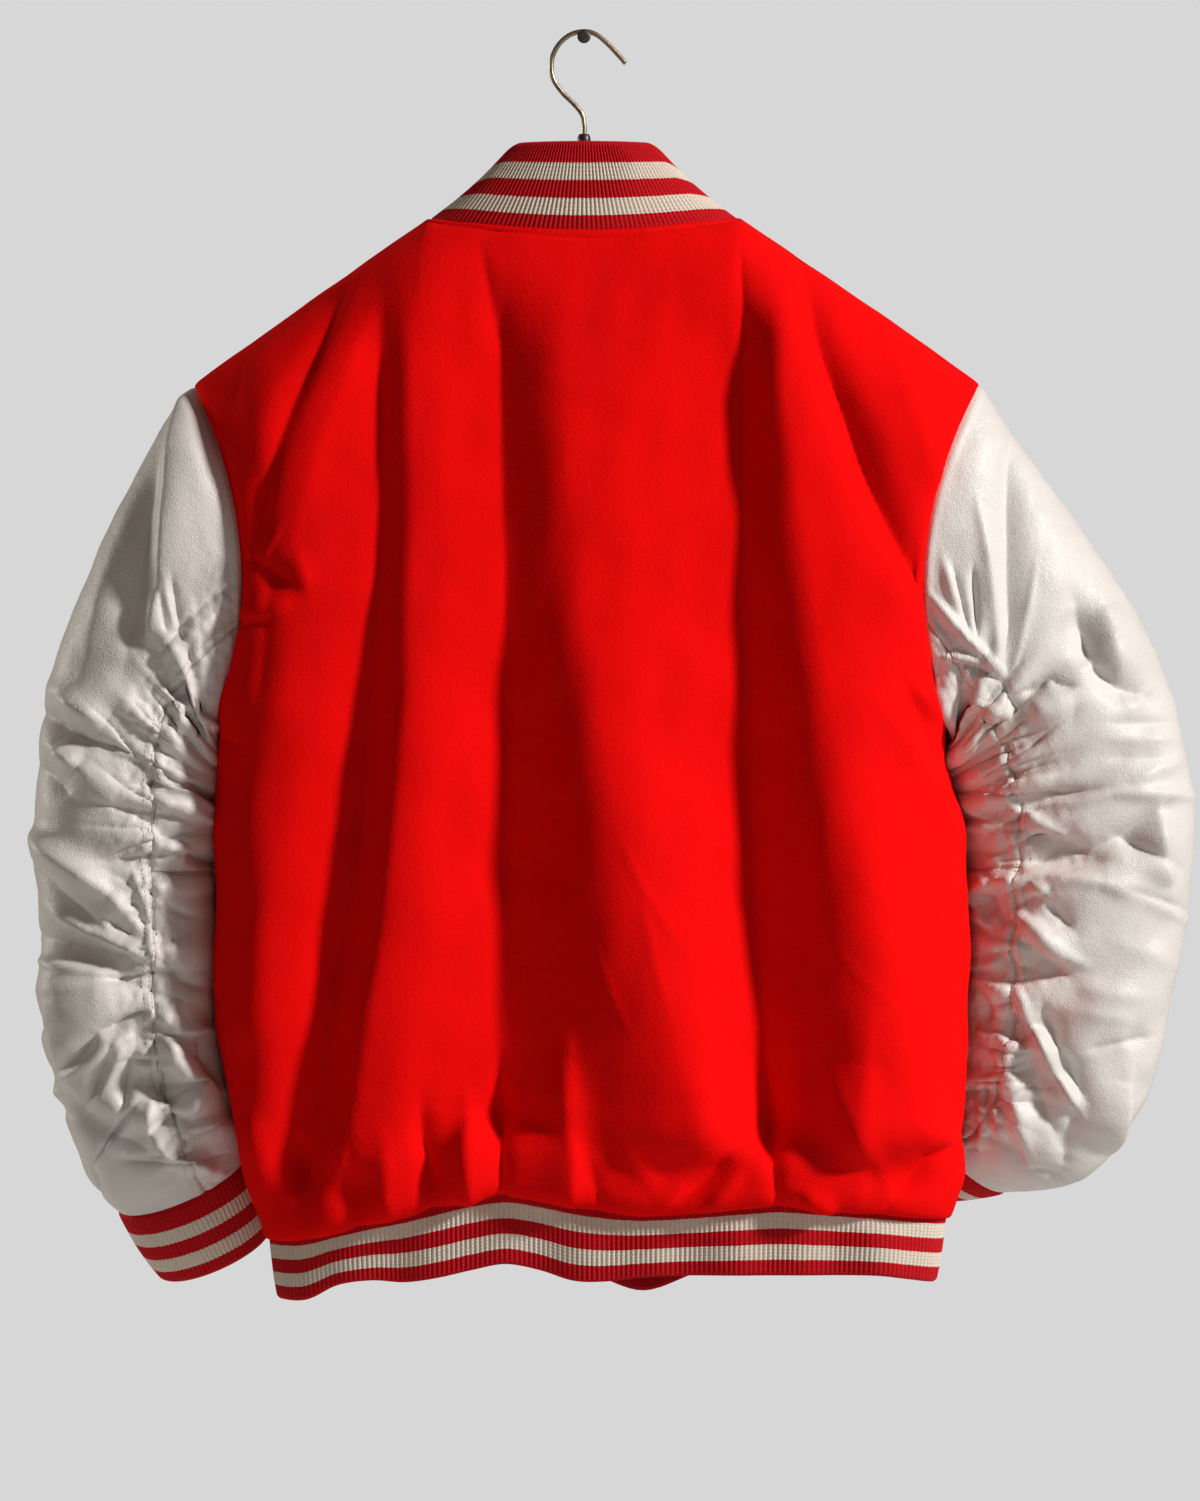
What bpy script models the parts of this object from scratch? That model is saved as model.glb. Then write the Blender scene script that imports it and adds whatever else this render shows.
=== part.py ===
# A varsity jacket hanging on a wooden hanger, whose hook hangs on a wall nail.
# Metres, +Z up. The jacket's back faces -Y and its left side is at -X.
# The origin is on the nail's axis, in the plane of the hanger's hook.

import math

import bmesh
import bpy
from mathutils import Vector

# Cloth, seams and ribbing
SEAM_GAP = 0.0003
WOOL_THICK = 0.0024
LEATHER_THICK = 0.0018
RIB_THICK = 0.0024
RIB_RELIEF = 0.0007
RIB_PITCH = 0.0050

# Neck: the seam where the collar is sewn on, and the collar's upper edge
NECK_HALF_WIDTH = 0.111
NECK_BACK_DEPTH = 0.046
NECK_FRONT_DEPTH = 0.058
NECK_SIDE_Z = -0.133
NECK_BACK_DROP = 0.0065
NECK_FRONT_DROP = 0.067
COLLAR_HALF_WIDTH = 0.058
COLLAR_BACK_DEPTH = 0.036
COLLAR_FRONT_DEPTH = 0.050
COLLAR_BACK_Z = -0.078
COLLAR_SIDE_DROP = 0.029
COLLAR_DROP_START = 0.41
COLLAR_DROP_ROUND = 0.03
COLLAR_FRONT_DROP = 0.023
NECK_LEAN = 0.75
COLLAR_LEAN = 0.25

# Armholes: each is a ring from its shoulder point round to its armpit
SHOULDER_LEFT = (-0.280, -0.252)
SHOULDER_RIGHT = (0.284, -0.251)
ARMPIT_LEFT = (-0.264, -0.503)
ARMPIT_RIGHT = (0.262, -0.500)
ARMHOLE_DEPTH = 0.050
ARMHOLE_BOW_LEFT = 0.028
ARMHOLE_BOW_RIGHT = -0.030
ARMHOLE_LEAN = 0.5

# Torso: how high the rounded shoulder roof is, and how boxy a level section
ROOF_HEIGHT = 0.075
SECTION_POWER = 2.2
SECTION_ROUND = 0.45

# Front closure: how far the fronts lap, and how far each layer steps aside
LAP_HALF = 0.015
LAP_STEP = 0.0019
LAP_STEP_HEM = 0.0040
LAP_FADE = 0.035
SNAP_COUNT = 7
SNAP_TOP_Z = -0.232
SNAP_LOW_Z = -0.812
SNAP_RADIUS = 0.0075
SNAP_HEIGHT = 0.0028
SNAP_SEAT = 0.0006

# Hem ribbing, and the front's sag under the back
HEM_HEIGHT = 0.057
HEM_PULL_IN = 0.0032
HEM_BACK_DEPTH = 0.060
HEM_FRONT_DEPTH = 0.054
HEM_LEFT_X = -0.222
HEM_RIGHT_X = 0.257
FRONT_SAG = 0.030
FRONT_SAG_X = 0.044
FRONT_SAG_WIDTH = 0.075
SAG_POWER = 4

# Cuffs
CUFF_LENGTH = 0.062
CUFF_TAPER = 0.84
CUFF_LEAN = 0.6

# Hanger, hook and nail
HANGER_CREST_Z = -0.1005
HANGER_BEND = 2.816
HANGER_BEND_END = 0.125
HANGER_TIP = 0.218
HANGER_TIP_LENGTH = 0.014
HANGER_TIP_SIZE = 0.65
HANGER_HALF_THICK = 0.007
HANGER_HALF_HEIGHT = 0.012
HANGER_SEAT = 0.0006
KNOB_RADIUS = 0.0048
KNOB_TOP_Z = -0.070
WIRE_RADIUS = 0.0018
NAIL_RADIUS = 0.0017
NAIL_HEAD_RADIUS = 0.0048
NAIL_HEAD_Y = -0.0026
NAIL_HEAD_THICK = 0.0014
NAIL_WALL_Y = 0.018

# Mesh density
SIDE_ROWS = 9
SHOULDER_COLUMNS = 6
NECK_BACK_COLUMNS = 8
NECK_FRONT_COLUMNS = 5
LAP_COLUMNS = 2
SLEEVE_ROWS = 30
SLEEVE_OUTER_HALF_COLUMNS = 7
SLEEVE_INNER_HALF_COLUMNS = 4
SLEEVE_SPLIT_ROW = 16

SHOULDER_CROWDING = 1.15
COLUMN_CROWDING = 0.8
ROW_CROWDING = 1.3
CLIMB_POWER = 1.2
FRONT_REACH = 0.93

# Rims split each quad on the diagonal that rises this way, so that the two
# rims of a seam are split alike
RIM_SPLIT_WAY = Vector((0.1, 0.3, 1.0))

# Side seams: height and x of each side. Rows run down from the armpits.
# Columns: z, left, right
SIDE_TABLE = (
    (-0.503, -0.264, 0.262),
    (-0.516, -0.258, 0.258),
    (-0.540, -0.262, 0.264),
    (-0.567, -0.264, 0.272),
    (-0.621, -0.264, 0.275),
    (-0.675, -0.266, 0.276),
    (-0.711, -0.265, 0.275),
    (-0.747, -0.257, 0.273),
    (-0.783, -0.250, 0.272),
    (-0.819, -0.240, 0.271),
)

# Depth of the torso behind and before the hanger's plane, by height
# Columns: z, back, front
DEPTH_TABLE = (
    (-0.830, 0.075, 0.066),
    (-0.780, 0.079, 0.069),
    (-0.700, 0.083, 0.071),
    (-0.550, 0.084, 0.072),
    (-0.400, 0.082, 0.070),
    (-0.250, 0.075, 0.064),
    (-0.130, 0.070, 0.060),
)

# The hem seam's height across the back
# Columns: x, z
HEM_SEAM_TABLE = (
    (-0.222, -0.850),
    (-0.130, -0.838),
    (-0.055, -0.824),
    (0.040, -0.827),
    (0.131, -0.831),
    (0.200, -0.835),
    (0.257, -0.838),
)

# The wool blouses over the hem: its edge laps the ribbing below the seam.
# Each row gives its rise from the seam, its swell beyond the ribbing, and
# the swell kept where the fronts lap.
# Columns: rise, swell, lap_swell
CURL_TABLE = (
    (-0.015, 0.0033, 0.0033),
    (-0.009, 0.0095, 0.0045),
    (0.004, 0.0135, 0.0054),
    (0.024, 0.0155, 0.0100),
)

CURL_REACH = 0.050

# Long folds of the back, left to right: crests stand out and valleys are
# creases. x is given at three heights, and relief is how far it stands out.
FOLD_HEIGHTS = (-0.260, -0.500, -0.830)
FOLD_START_Z = -0.190
FOLD_FADE = 0.110
# Columns: kind, x_top, x_middle, x_low, relief
BACK_FOLDS = (
    ("edge", -0.270, -0.270, -0.240, 0.000),
    ("valley", -0.176, -0.178, -0.205, -0.008),
    ("crest", -0.104, -0.104, -0.110, 0.009),
    ("valley", -0.062, -0.060, -0.056, -0.009),
    ("crest", 0.006, 0.036, 0.090, 0.010),
    ("valley", 0.112, 0.118, 0.130, -0.009),
    ("crest", 0.150, 0.185, 0.210, 0.007),
    ("edge", 0.280, 0.280, 0.270, 0.000),
)
FRONT_FOLDS = (
    ("edge", -0.270, -0.270, -0.240, 0.000),
    ("crest", -0.190, -0.196, -0.196, 0.006),
    ("valley", -0.140, -0.132, -0.120, -0.006),
    ("crest", -0.085, -0.075, -0.070, 0.005),
    ("edge", -0.035, -0.035, -0.035, 0.000),
    ("edge", 0.035, 0.035, 0.035, 0.000),
    ("crest", 0.080, 0.085, 0.095, 0.006),
    ("valley", 0.128, 0.136, 0.140, -0.006),
    ("crest", 0.180, 0.195, 0.200, 0.005),
    ("edge", 0.280, 0.280, 0.270, 0.000),
)

# Sleeve sections from the armhole ring down to the cuff seam: the outer and
# inner points of the tube, its middle depth, half its depth, how far its
# section bows towards the body, and how far its back side leans down.
# Columns: out_x, out_z, in_x, in_z, mid_y, depth, bow, lean
SLEEVE_LEFT_TABLE = (
    (-0.280, -0.252, -0.264, -0.503, 0.000, 0.050, 0.028, 0.000),
    (-0.303, -0.282, -0.269, -0.508, 0.004, 0.055, 0.020, 0.000),
    (-0.331, -0.334, -0.271, -0.514, 0.010, 0.061, 0.010, 0.000),
    (-0.355, -0.387, -0.270, -0.522, 0.017, 0.066, 0.004, 0.000),
    (-0.378, -0.441, -0.267, -0.532, 0.023, 0.070, 0.000, 0.000),
    (-0.391, -0.495, -0.264, -0.547, 0.028, 0.073, 0.000, 0.000),
    (-0.396, -0.549, -0.262, -0.570, 0.033, 0.074, 0.000, 0.000),
    (-0.396, -0.603, -0.261, -0.606, 0.036, 0.073, 0.000, 0.000),
    (-0.393, -0.657, -0.261, -0.655, 0.036, 0.071, 0.000, 0.000),
    (-0.391, -0.710, -0.261, -0.705, 0.036, 0.068, 0.000, 0.000),
    (-0.383, -0.756, -0.256, -0.745, 0.038, 0.063, 0.000, 0.002),
    (-0.368, -0.795, -0.250, -0.775, 0.040, 0.056, 0.000, 0.006),
    (-0.356, -0.826, -0.245, -0.794, 0.042, 0.048, 0.000, 0.010),
    (-0.337, -0.846, -0.246, -0.806, 0.044, 0.036, 0.000, 0.013),
)
SLEEVE_RIGHT_TABLE = (
    (0.284, -0.251, 0.262, -0.500, 0.000, 0.050, -0.030, 0.000),
    (0.309, -0.287, 0.268, -0.506, 0.004, 0.054, -0.020, 0.000),
    (0.343, -0.334, 0.270, -0.512, 0.010, 0.058, -0.010, 0.000),
    (0.376, -0.380, 0.271, -0.519, 0.017, 0.061, -0.004, 0.000),
    (0.405, -0.428, 0.271, -0.528, 0.023, 0.063, 0.000, 0.000),
    (0.427, -0.480, 0.272, -0.541, 0.028, 0.064, 0.000, 0.000),
    (0.439, -0.533, 0.273, -0.563, 0.033, 0.064, 0.000, 0.000),
    (0.441, -0.593, 0.273, -0.603, 0.036, 0.063, 0.000, 0.000),
    (0.435, -0.650, 0.273, -0.655, 0.037, 0.062, 0.000, 0.000),
    (0.424, -0.705, 0.272, -0.705, 0.039, 0.060, 0.000, 0.000),
    (0.413, -0.750, 0.269, -0.740, 0.043, 0.057, 0.000, 0.000),
    (0.393, -0.787, 0.264, -0.762, 0.050, 0.052, 0.000, 0.004),
    (0.366, -0.820, 0.256, -0.772, 0.063, 0.046, 0.000, 0.010),
    (0.309, -0.808, 0.229, -0.756, 0.080, 0.035, 0.000, 0.015),
)

# Where the two sleeve panels are sewn together, as angles round the tube:
# 0 is its outer side, 90 its back, 180 its inner side and 270 its front.
# The seams leave the armhole at one angle and drift to another lower down.
SEAM_ANGLE = 112.0
SEAM_DRIFT_LEFT = 108.0
SEAM_DRIFT_RIGHT = 124.0
SEAM_DRIFT_SECTIONS = 3.0

# Soft folds across a sleeve: angle and section of the fold's middle, how
# far round it reaches, how wide it is in sections, its slope and relief.
# Columns: angle, section, reach, width, slope, relief
SLEEVE_FOLDS_LEFT = (
    (110.0, 3.4, 55.0, 0.35, 0.010, -0.006),
    (100.0, 6.0, 60.0, 0.50, 0.000, 0.004),
    (120.0, 7.2, 45.0, 0.22, 0.000, -0.006),
    (75.0, 8.2, 60.0, 0.40, 0.012, -0.005),
    (100.0, 9.6, 60.0, 0.40, -0.008, -0.006),
    (60.0, 10.7, 60.0, 0.35, 0.016, -0.007),
    (120.0, 10.9, 45.0, 0.40, 0.010, 0.005),
    (300.0, 5.0, 60.0, 0.60, 0.010, -0.005),
    (290.0, 9.0, 60.0, 0.50, -0.010, -0.006),
)
SLEEVE_FOLDS_RIGHT = (
    (100.0, 3.6, 55.0, 0.35, 0.010, -0.005),
    (95.0, 5.8, 60.0, 0.35, 0.014, -0.005),
    (90.0, 7.4, 65.0, 0.40, 0.014, 0.004),
    (85.0, 8.6, 60.0, 0.35, 0.016, -0.006),
    (80.0, 10.0, 60.0, 0.40, 0.016, -0.006),
    (60.0, 11.0, 60.0, 0.35, 0.010, 0.004),
    (300.0, 5.0, 60.0, 0.60, 0.010, -0.005),
    (290.0, 9.0, 60.0, 0.50, -0.010, -0.006),
)

# Half steps, in degrees and in sections, for a sleeve surface's slopes
TURN_STEP = 2.0
PLACE_STEP = 0.12

# Gathers along a sleeve's seams
RUCHE_RELIEF = 0.0035
RUCHE_PITCH = 0.80
RUCHE_REACH = 34.0
RUCHE_FIRST_SECTION = 2.5
RUCHE_LAST_SECTION = 10.5

# The hook's wire, from its free tip over the nail and down to the knob
# Columns: x, z
HOOK_ROUTE = (
    (0.0300, -0.0190),
    (0.0225, -0.0105),
    (0.0150, -0.0030),
    (0.0080, 0.0022),
    (0.0000, 0.0040),
    (-0.0095, 0.0018),
    (-0.0180, -0.0052),
    (-0.0232, -0.0160),
    (-0.0225, -0.0290),
    (-0.0160, -0.0395),
    (-0.0075, -0.0480),
    (-0.0015, -0.0555),
    (0.0000, -0.0640),
    (0.0000, -0.0697),
)
HOOK_STEPS = 2


# ---------------------------------------------------------------- helpers

def lerp(a, b, t):
    return a + (b - a) * t


def ease(t):
    t = min(max(t, 0.0), 1.0)
    return t * t * (3.0 - 2.0 * t)


def through(rows, at):
    """A smooth curve through the rows, read at a fractional row number."""
    last = len(rows) - 1
    at = min(max(at, 0.0), float(last))
    low = min(int(at), last - 1)
    t = at - low
    before = rows[max(low - 1, 0)]
    start = rows[low]
    end = rows[low + 1]
    after = rows[min(low + 2, last)]
    values = []
    for a, b, c, d in zip(before, start, end, after):
        slope_b = (c - a) * 0.5
        slope_c = (d - b) * 0.5
        cube = 2.0 * (b - c) + slope_b + slope_c
        square = 3.0 * (c - b) - 2.0 * slope_b - slope_c
        values.append(((cube * t + square) * t + slope_b) * t + b)
    return values


def look_up(rows, key):
    """Read a table at a value of its first column, by straight lines."""
    ordered = sorted(rows)
    if key <= ordered[0][0]:
        return ordered[0][1:]
    for low, high in zip(ordered, ordered[1:]):
        if key <= high[0]:
            t = (key - low[0]) / (high[0] - low[0])
            return [lerp(a, b, t) for a, b in zip(low[1:], high[1:])]
    return ordered[-1][1:]


def material(name, color, roughness, metallic=0.0):
    made = bpy.data.materials.new(name)
    made.use_nodes = True
    shader = made.node_tree.nodes["Principled BSDF"]
    shader.inputs["Base Color"].default_value = (*color, 1.0)
    shader.inputs["Roughness"].default_value = roughness
    shader.inputs["Metallic"].default_value = metallic
    made.diffuse_color = (*color, 1.0)
    return made


def add_object(name, data, look):
    thing = bpy.data.objects.new(name, data)
    data.materials.append(look)
    bpy.context.scene.collection.objects.link(thing)
    return thing


def add_mesh(name, points, faces, look):
    """One closed mesh object whose faces point outward."""
    mesh = bpy.data.meshes.new(name)
    mesh.from_pydata([tuple(p) for p in points], [], faces)
    work = bmesh.new()
    work.from_mesh(mesh)
    bmesh.ops.recalc_face_normals(work, faces=work.faces)
    if work.calc_volume(signed=True) < 0.0:
        bmesh.ops.reverse_faces(work, faces=work.faces)
    work.to_mesh(mesh)
    work.free()
    mesh.shade_smooth()
    mesh.set_sharp_from_angle(angle=math.radians(50.0))
    return add_object(name, mesh, look)


def grid_normals(grid):
    """The unit normal of each grid point, from its neighbours."""
    rows = len(grid)
    columns = len(grid[0])
    normals = []
    for i in range(rows):
        line = []
        for j in range(columns):
            up = grid[min(i + 1, rows - 1)][j] - grid[max(i - 1, 0)][j]
            across = grid[i][min(j + 1, columns - 1)] - grid[i][max(j - 1, 0)]
            line.append(across.cross(up).normalized())
        normals.append(line)
    return normals


def add_wall(name, grid, directions, thick, look):
    """A cloth wall: two skins half a thickness each side of the grid."""
    rows = len(grid)
    columns = len(grid[0])
    points = []
    for side in (0.5, -0.5):
        for line, ways in zip(grid, directions):
            for point, way in zip(line, ways):
                points.append(point + way * (thick * side))
    inner = rows * columns

    def outer_at(i, j):
        return i * columns + j

    def inner_at(i, j):
        return inner + i * columns + j

    faces = []
    for i in range(rows - 1):
        for j in range(columns - 1):
            corners = ((i, j), (i, j + 1), (i + 1, j + 1), (i + 1, j))
            for triple in ((0, 1, 2), (0, 2, 3)):
                faces.append([outer_at(*corners[k]) for k in triple])
                faces.append([inner_at(*corners[k]) for k in reversed(triple)])
    border = [(0, j) for j in range(columns)]
    border += [(i, columns - 1) for i in range(1, rows)]
    border += [(rows - 1, j) for j in range(columns - 2, -1, -1)]
    border += [(i, 0) for i in range(rows - 2, 0, -1)]
    for here, there in zip(border, border[1:] + border[:1]):
        rise = grid[there[0]][there[1]] - grid[here[0]][here[1]]
        if rise.dot(RIM_SPLIT_WAY) > 0.0:
            faces.append([outer_at(*there), outer_at(*here), inner_at(*here)])
            faces.append([outer_at(*there), inner_at(*here), inner_at(*there)])
        else:
            faces.append([outer_at(*there), outer_at(*here), inner_at(*there)])
            faces.append([outer_at(*here), inner_at(*here), inner_at(*there)])
    return add_mesh(name, points, faces, look)


# ------------------------------------------------------------ torso shape

def neck_seam(angle):
    """The collar seam: 0 is the centre back, +-180 the centre front."""
    turn = math.radians(angle)
    cosine = math.cos(turn)
    back = cosine > 0.0
    depth = NECK_BACK_DEPTH if back else NECK_FRONT_DEPTH
    drop = NECK_BACK_DROP if back else NECK_FRONT_DROP
    x = NECK_HALF_WIDTH * math.sin(turn)
    return Vector((x, -depth * cosine, NECK_SIDE_Z - drop * cosine * cosine))


def collar_edge(angle):
    """The collar's upper edge at the same angle as the seam."""
    turn = math.radians(angle)
    cosine = math.cos(turn)
    depth = COLLAR_BACK_DEPTH if cosine > 0.0 else COLLAR_FRONT_DEPTH
    past = 1.0 - cosine - COLLAR_DROP_START
    drop = COLLAR_SIDE_DROP * (past + math.hypot(past, COLLAR_DROP_ROUND)) / 2.0
    drop += COLLAR_FRONT_DROP * max(-cosine, 0.0) ** 2
    x = COLLAR_HALF_WIDTH * math.sin(turn)
    return Vector((x, -depth * cosine, COLLAR_BACK_Z - drop))


def neck_direction(angle):
    turn = math.radians(angle)
    return Vector((math.sin(turn), -math.cos(turn), NECK_LEAN)).normalized()


def ring_angles():
    """The angles that a sleeve's columns and an armhole's edge share."""
    outer = [SEAM_ANGLE * k / SLEEVE_OUTER_HALF_COLUMNS for k in range(SLEEVE_OUTER_HALF_COLUMNS)]
    step = (180.0 - SEAM_ANGLE) / SLEEVE_INNER_HALF_COLUMNS
    return outer + [SEAM_ANGLE + step * k for k in range(SLEEVE_INNER_HALF_COLUMNS + 1)]


def armhole(side, angle):
    """A point of the armhole ring: 0 is the shoulder and 180 the armpit."""
    top = SHOULDER_LEFT if side < 0 else SHOULDER_RIGHT
    low = ARMPIT_LEFT if side < 0 else ARMPIT_RIGHT
    bow = ARMHOLE_BOW_LEFT if side < 0 else ARMHOLE_BOW_RIGHT
    turn = math.radians(angle)
    cosine = math.cos(turn)
    sine = math.sin(turn)
    x = lerp(low[0], top[0], (1.0 + cosine) / 2.0) + bow * sine * sine
    z = lerp(low[1], top[1], (1.0 + cosine) / 2.0)
    return Vector((x, -ARMHOLE_DEPTH * sine, z))


def armhole_direction(side, angle):
    turn = math.radians(angle)
    lean = side * ARMHOLE_LEAN * max(math.cos(turn), 0.0)
    return Vector((lean, -math.sin(turn), math.cos(turn))).normalized()


def shoulder_direction(side):
    """Square to the straight shoulder line, in the hanger's plane."""
    tip = SHOULDER_LEFT if side < 0 else SHOULDER_RIGHT
    run = abs(tip[0]) - NECK_HALF_WIDTH
    drop = NECK_SIDE_Z - tip[1]
    return Vector((side * drop, 0.0, run)).normalized()


def section(across):
    """How full the torso's level section is, from 0 at a side to 1."""
    return (1.0 - min(abs(across), 1.0) ** SECTION_POWER) ** SECTION_ROUND


def roof(below):
    """How full the torso is just below its shoulder line."""
    t = min(max(below / ROOF_HEIGHT, 0.0), 1.0)
    return math.sqrt(1.0 - (1.0 - t) ** 2)


def fold_relief(folds, x, z):
    """Rounded crests between sharp valleys, fading out near the shoulders."""
    strength = ease((FOLD_START_Z - z) / FOLD_FADE)
    high, middle, low = FOLD_HEIGHTS
    z = min(max(z, low), high)
    at_top = (z - middle) * (z - low) / ((high - middle) * (high - low))
    at_middle = (z - high) * (z - low) / ((middle - high) * (middle - low))
    at_low = 1.0 - at_top - at_middle
    places = []
    for kind, x_top, x_middle, x_low, relief in folds:
        place = x_top * at_top + x_middle * at_middle + x_low * at_low
        places.append((place, kind, relief))
    for (x0, kind0, r0), (x1, kind1, r1) in zip(places, places[1:]):
        if x0 <= x <= x1:
            t = (x - x0) / (x1 - x0)
            if kind0 == "valley":
                rise = math.sin(t * math.pi / 2.0)
            elif kind1 == "valley":
                rise = 1.0 - math.sin((1.0 - t) * math.pi / 2.0)
            else:
                rise = ease(t)
            return strength * lerp(r0, r1, rise)
    return 0.0


def hem_seam_z(x, back):
    level = look_up(HEM_SEAM_TABLE, x)[0]
    if back:
        return level
    middle = (HEM_LEFT_X + HEM_RIGHT_X) / 2.0
    reach = 1.0 - min(abs(x - middle) / (HEM_RIGHT_X - middle), 1.0) ** SAG_POWER
    sag = math.exp(-((x - FRONT_SAG_X) / FRONT_SAG_WIDTH) ** 2)
    return level - FRONT_SAG * sag * reach


def lap_offset(side, x, full_step):
    """How far a front's lapping edge steps out (left) or in (right)."""
    if side == 0:
        return 0.0
    return -side * full_step * ease((LAP_HALF + LAP_FADE - side * x) / LAP_FADE)


def curl_swell(row, x, back):
    """The hem edge's swell, which is small where the two fronts lap."""
    swell, lap_swell = CURL_TABLE[row][1:]
    if back:
        return swell
    return lerp(lap_swell, swell, ease((abs(x) - LAP_HALF) / LAP_FADE))


def side_rows():
    """Every row of the torso: its kind, and its place along the side."""
    rows = [("curl", k) for k in range(len(CURL_TABLE))]
    for k in range(SIDE_ROWS):
        rows.append(("side", 1.0 - (1.0 - k / (SIDE_ROWS - 1)) ** ROW_CROWDING))
    for angle in reversed(ring_angles()[:-1]):
        rows.append(("arm", angle))
    return rows


def side_point(side, row):
    """A point of the shared side seam or armhole edge, at y = 0 or its ring."""
    kind, place = row
    seam_x = HEM_LEFT_X if side < 0 else HEM_RIGHT_X
    seam_z = hem_seam_z(seam_x, True)
    if kind == "curl":
        rise, swell, _ = CURL_TABLE[place]
        return Vector((seam_x + side * swell, 0.0, seam_z + rise))
    if kind == "side":
        armpit = ARMPIT_LEFT if side < 0 else ARMPIT_RIGHT
        z = lerp(seam_z + CURL_REACH, armpit[1], place)
        x = armpit[0] if place >= 1.0 else look_up(SIDE_TABLE, z)[0 if side < 0 else 1]
        return Vector((x, 0.0, z))
    return armhole(side, place)


def column_fractions(columns, top_points):
    """Where each column stands, 0 left to 1 right, low down and at the top."""
    left = SHOULDER_LEFT[0]
    right = SHOULDER_RIGHT[0]
    high = [(p.x - left) / (right - left) for p in top_points]
    low = []
    for place in columns:
        across = lerp(place, math.sin(place * math.pi / 2.0), COLUMN_CROWDING)
        low.append((across + 1.0) / 2.0)
    return low, high


def torso_point(back, row, low, high, top, side):
    """One grid point of the back or a front."""
    kind, place = row
    left = side_point(-1, row)
    right = side_point(1, row)
    climb = (1.0 - place / 180.0) ** CLIMB_POWER if kind == "arm" else 0.0
    share = lerp(low, high, climb)
    x = lerp(left.x, right.x, share)
    across = 2.0 * share - 1.0
    fullness = section(across)
    sign = -1.0 if back else 1.0
    if kind == "curl":
        depth = HEM_BACK_DEPTH if back else HEM_FRONT_DEPTH
        z = hem_seam_z(x, back) + CURL_TABLE[place][0]
        y = sign * (depth + curl_swell(place, x, back)) * fullness
        return Vector((x, y + lap_offset(side, x, LAP_STEP_HEM), z))
    column = 0 if back else 1
    folds = BACK_FOLDS if back else FRONT_FOLDS
    armpit_z = lerp(ARMPIT_LEFT[1], ARMPIT_RIGHT[1], share)
    if kind == "side":
        z = lerp(hem_seam_z(x, back) + CURL_REACH, armpit_z, place)
        edge = 0.0
        dip = 1.0
        top_y = 0.0
    else:
        cosine = math.cos(math.radians(place))
        z = top.z - (top.z - armpit_z) * (1.0 - cosine) / 2.0
        edge = ARMHOLE_DEPTH * math.sin(math.radians(place))
        dip = roof(top.z - z)
        top_y = abs(top.y)
    depth = look_up(DEPTH_TABLE, z)[column] + fold_relief(folds, x, z)
    y = edge * (1.0 - fullness) + lerp(top_y, depth, dip) * fullness
    return Vector((x, sign * y + lap_offset(side, x, LAP_STEP), z))


def shoulder_points(side, count):
    """Top points from the shoulder point in to the neck corner."""
    tip = SHOULDER_LEFT if side < 0 else SHOULDER_RIGHT
    neck = Vector((side * NECK_HALF_WIDTH, 0.0, NECK_SIDE_Z))
    start = Vector((tip[0], 0.0, tip[1]))
    return [start.lerp(neck, (k / count) ** SHOULDER_CROWDING) for k in range(count)]


def finish_torso(grid, back, tops, sides_kept, rows):
    """Set the rim directions at the seams, and open the seams' gaps."""
    normals = grid_normals(grid)
    if not back and sides_kept[0][0] < 0:
        normals = [[-way for way in line] for line in normals]
    sign = -1.0 if back else 1.0
    half_gap = SEAM_GAP / 2.0
    for side, column in sides_kept:
        profile = [side_point(side, row) for row in rows]
        for i, (kind, place) in enumerate(rows):
            if kind == "arm" or (kind == "side" and place == 1.0):
                angle = place if kind == "arm" else 180.0
                way = armhole_direction(side, angle)
                normals[i][column] = Vector((way.x, way.y * -sign, way.z))
                grid[i][column].x -= side * half_gap
            else:
                along = profile[i + 1] - profile[max(i - 1, 0)]
                normals[i][column] = Vector((side * along.z, 0.0, -side * along.x)).normalized()
            if kind != "arm" or place == 0.0:
                grid[i][column].y = sign * half_gap
    last = len(rows) - 1
    for j, (_, angle, side) in enumerate(tops):
        if angle is None:
            tip = j in (0, len(tops) - 1)
            normals[last][j] = armhole_direction(side, 0.0) if tip else shoulder_direction(side)
            grid[last][j].y = sign * half_gap
            continue
        normals[last][j] = neck_direction(angle)
        if abs(abs(angle) - 90.0) < 0.01:
            grid[last][j].y = sign * half_gap
    return normals


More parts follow.
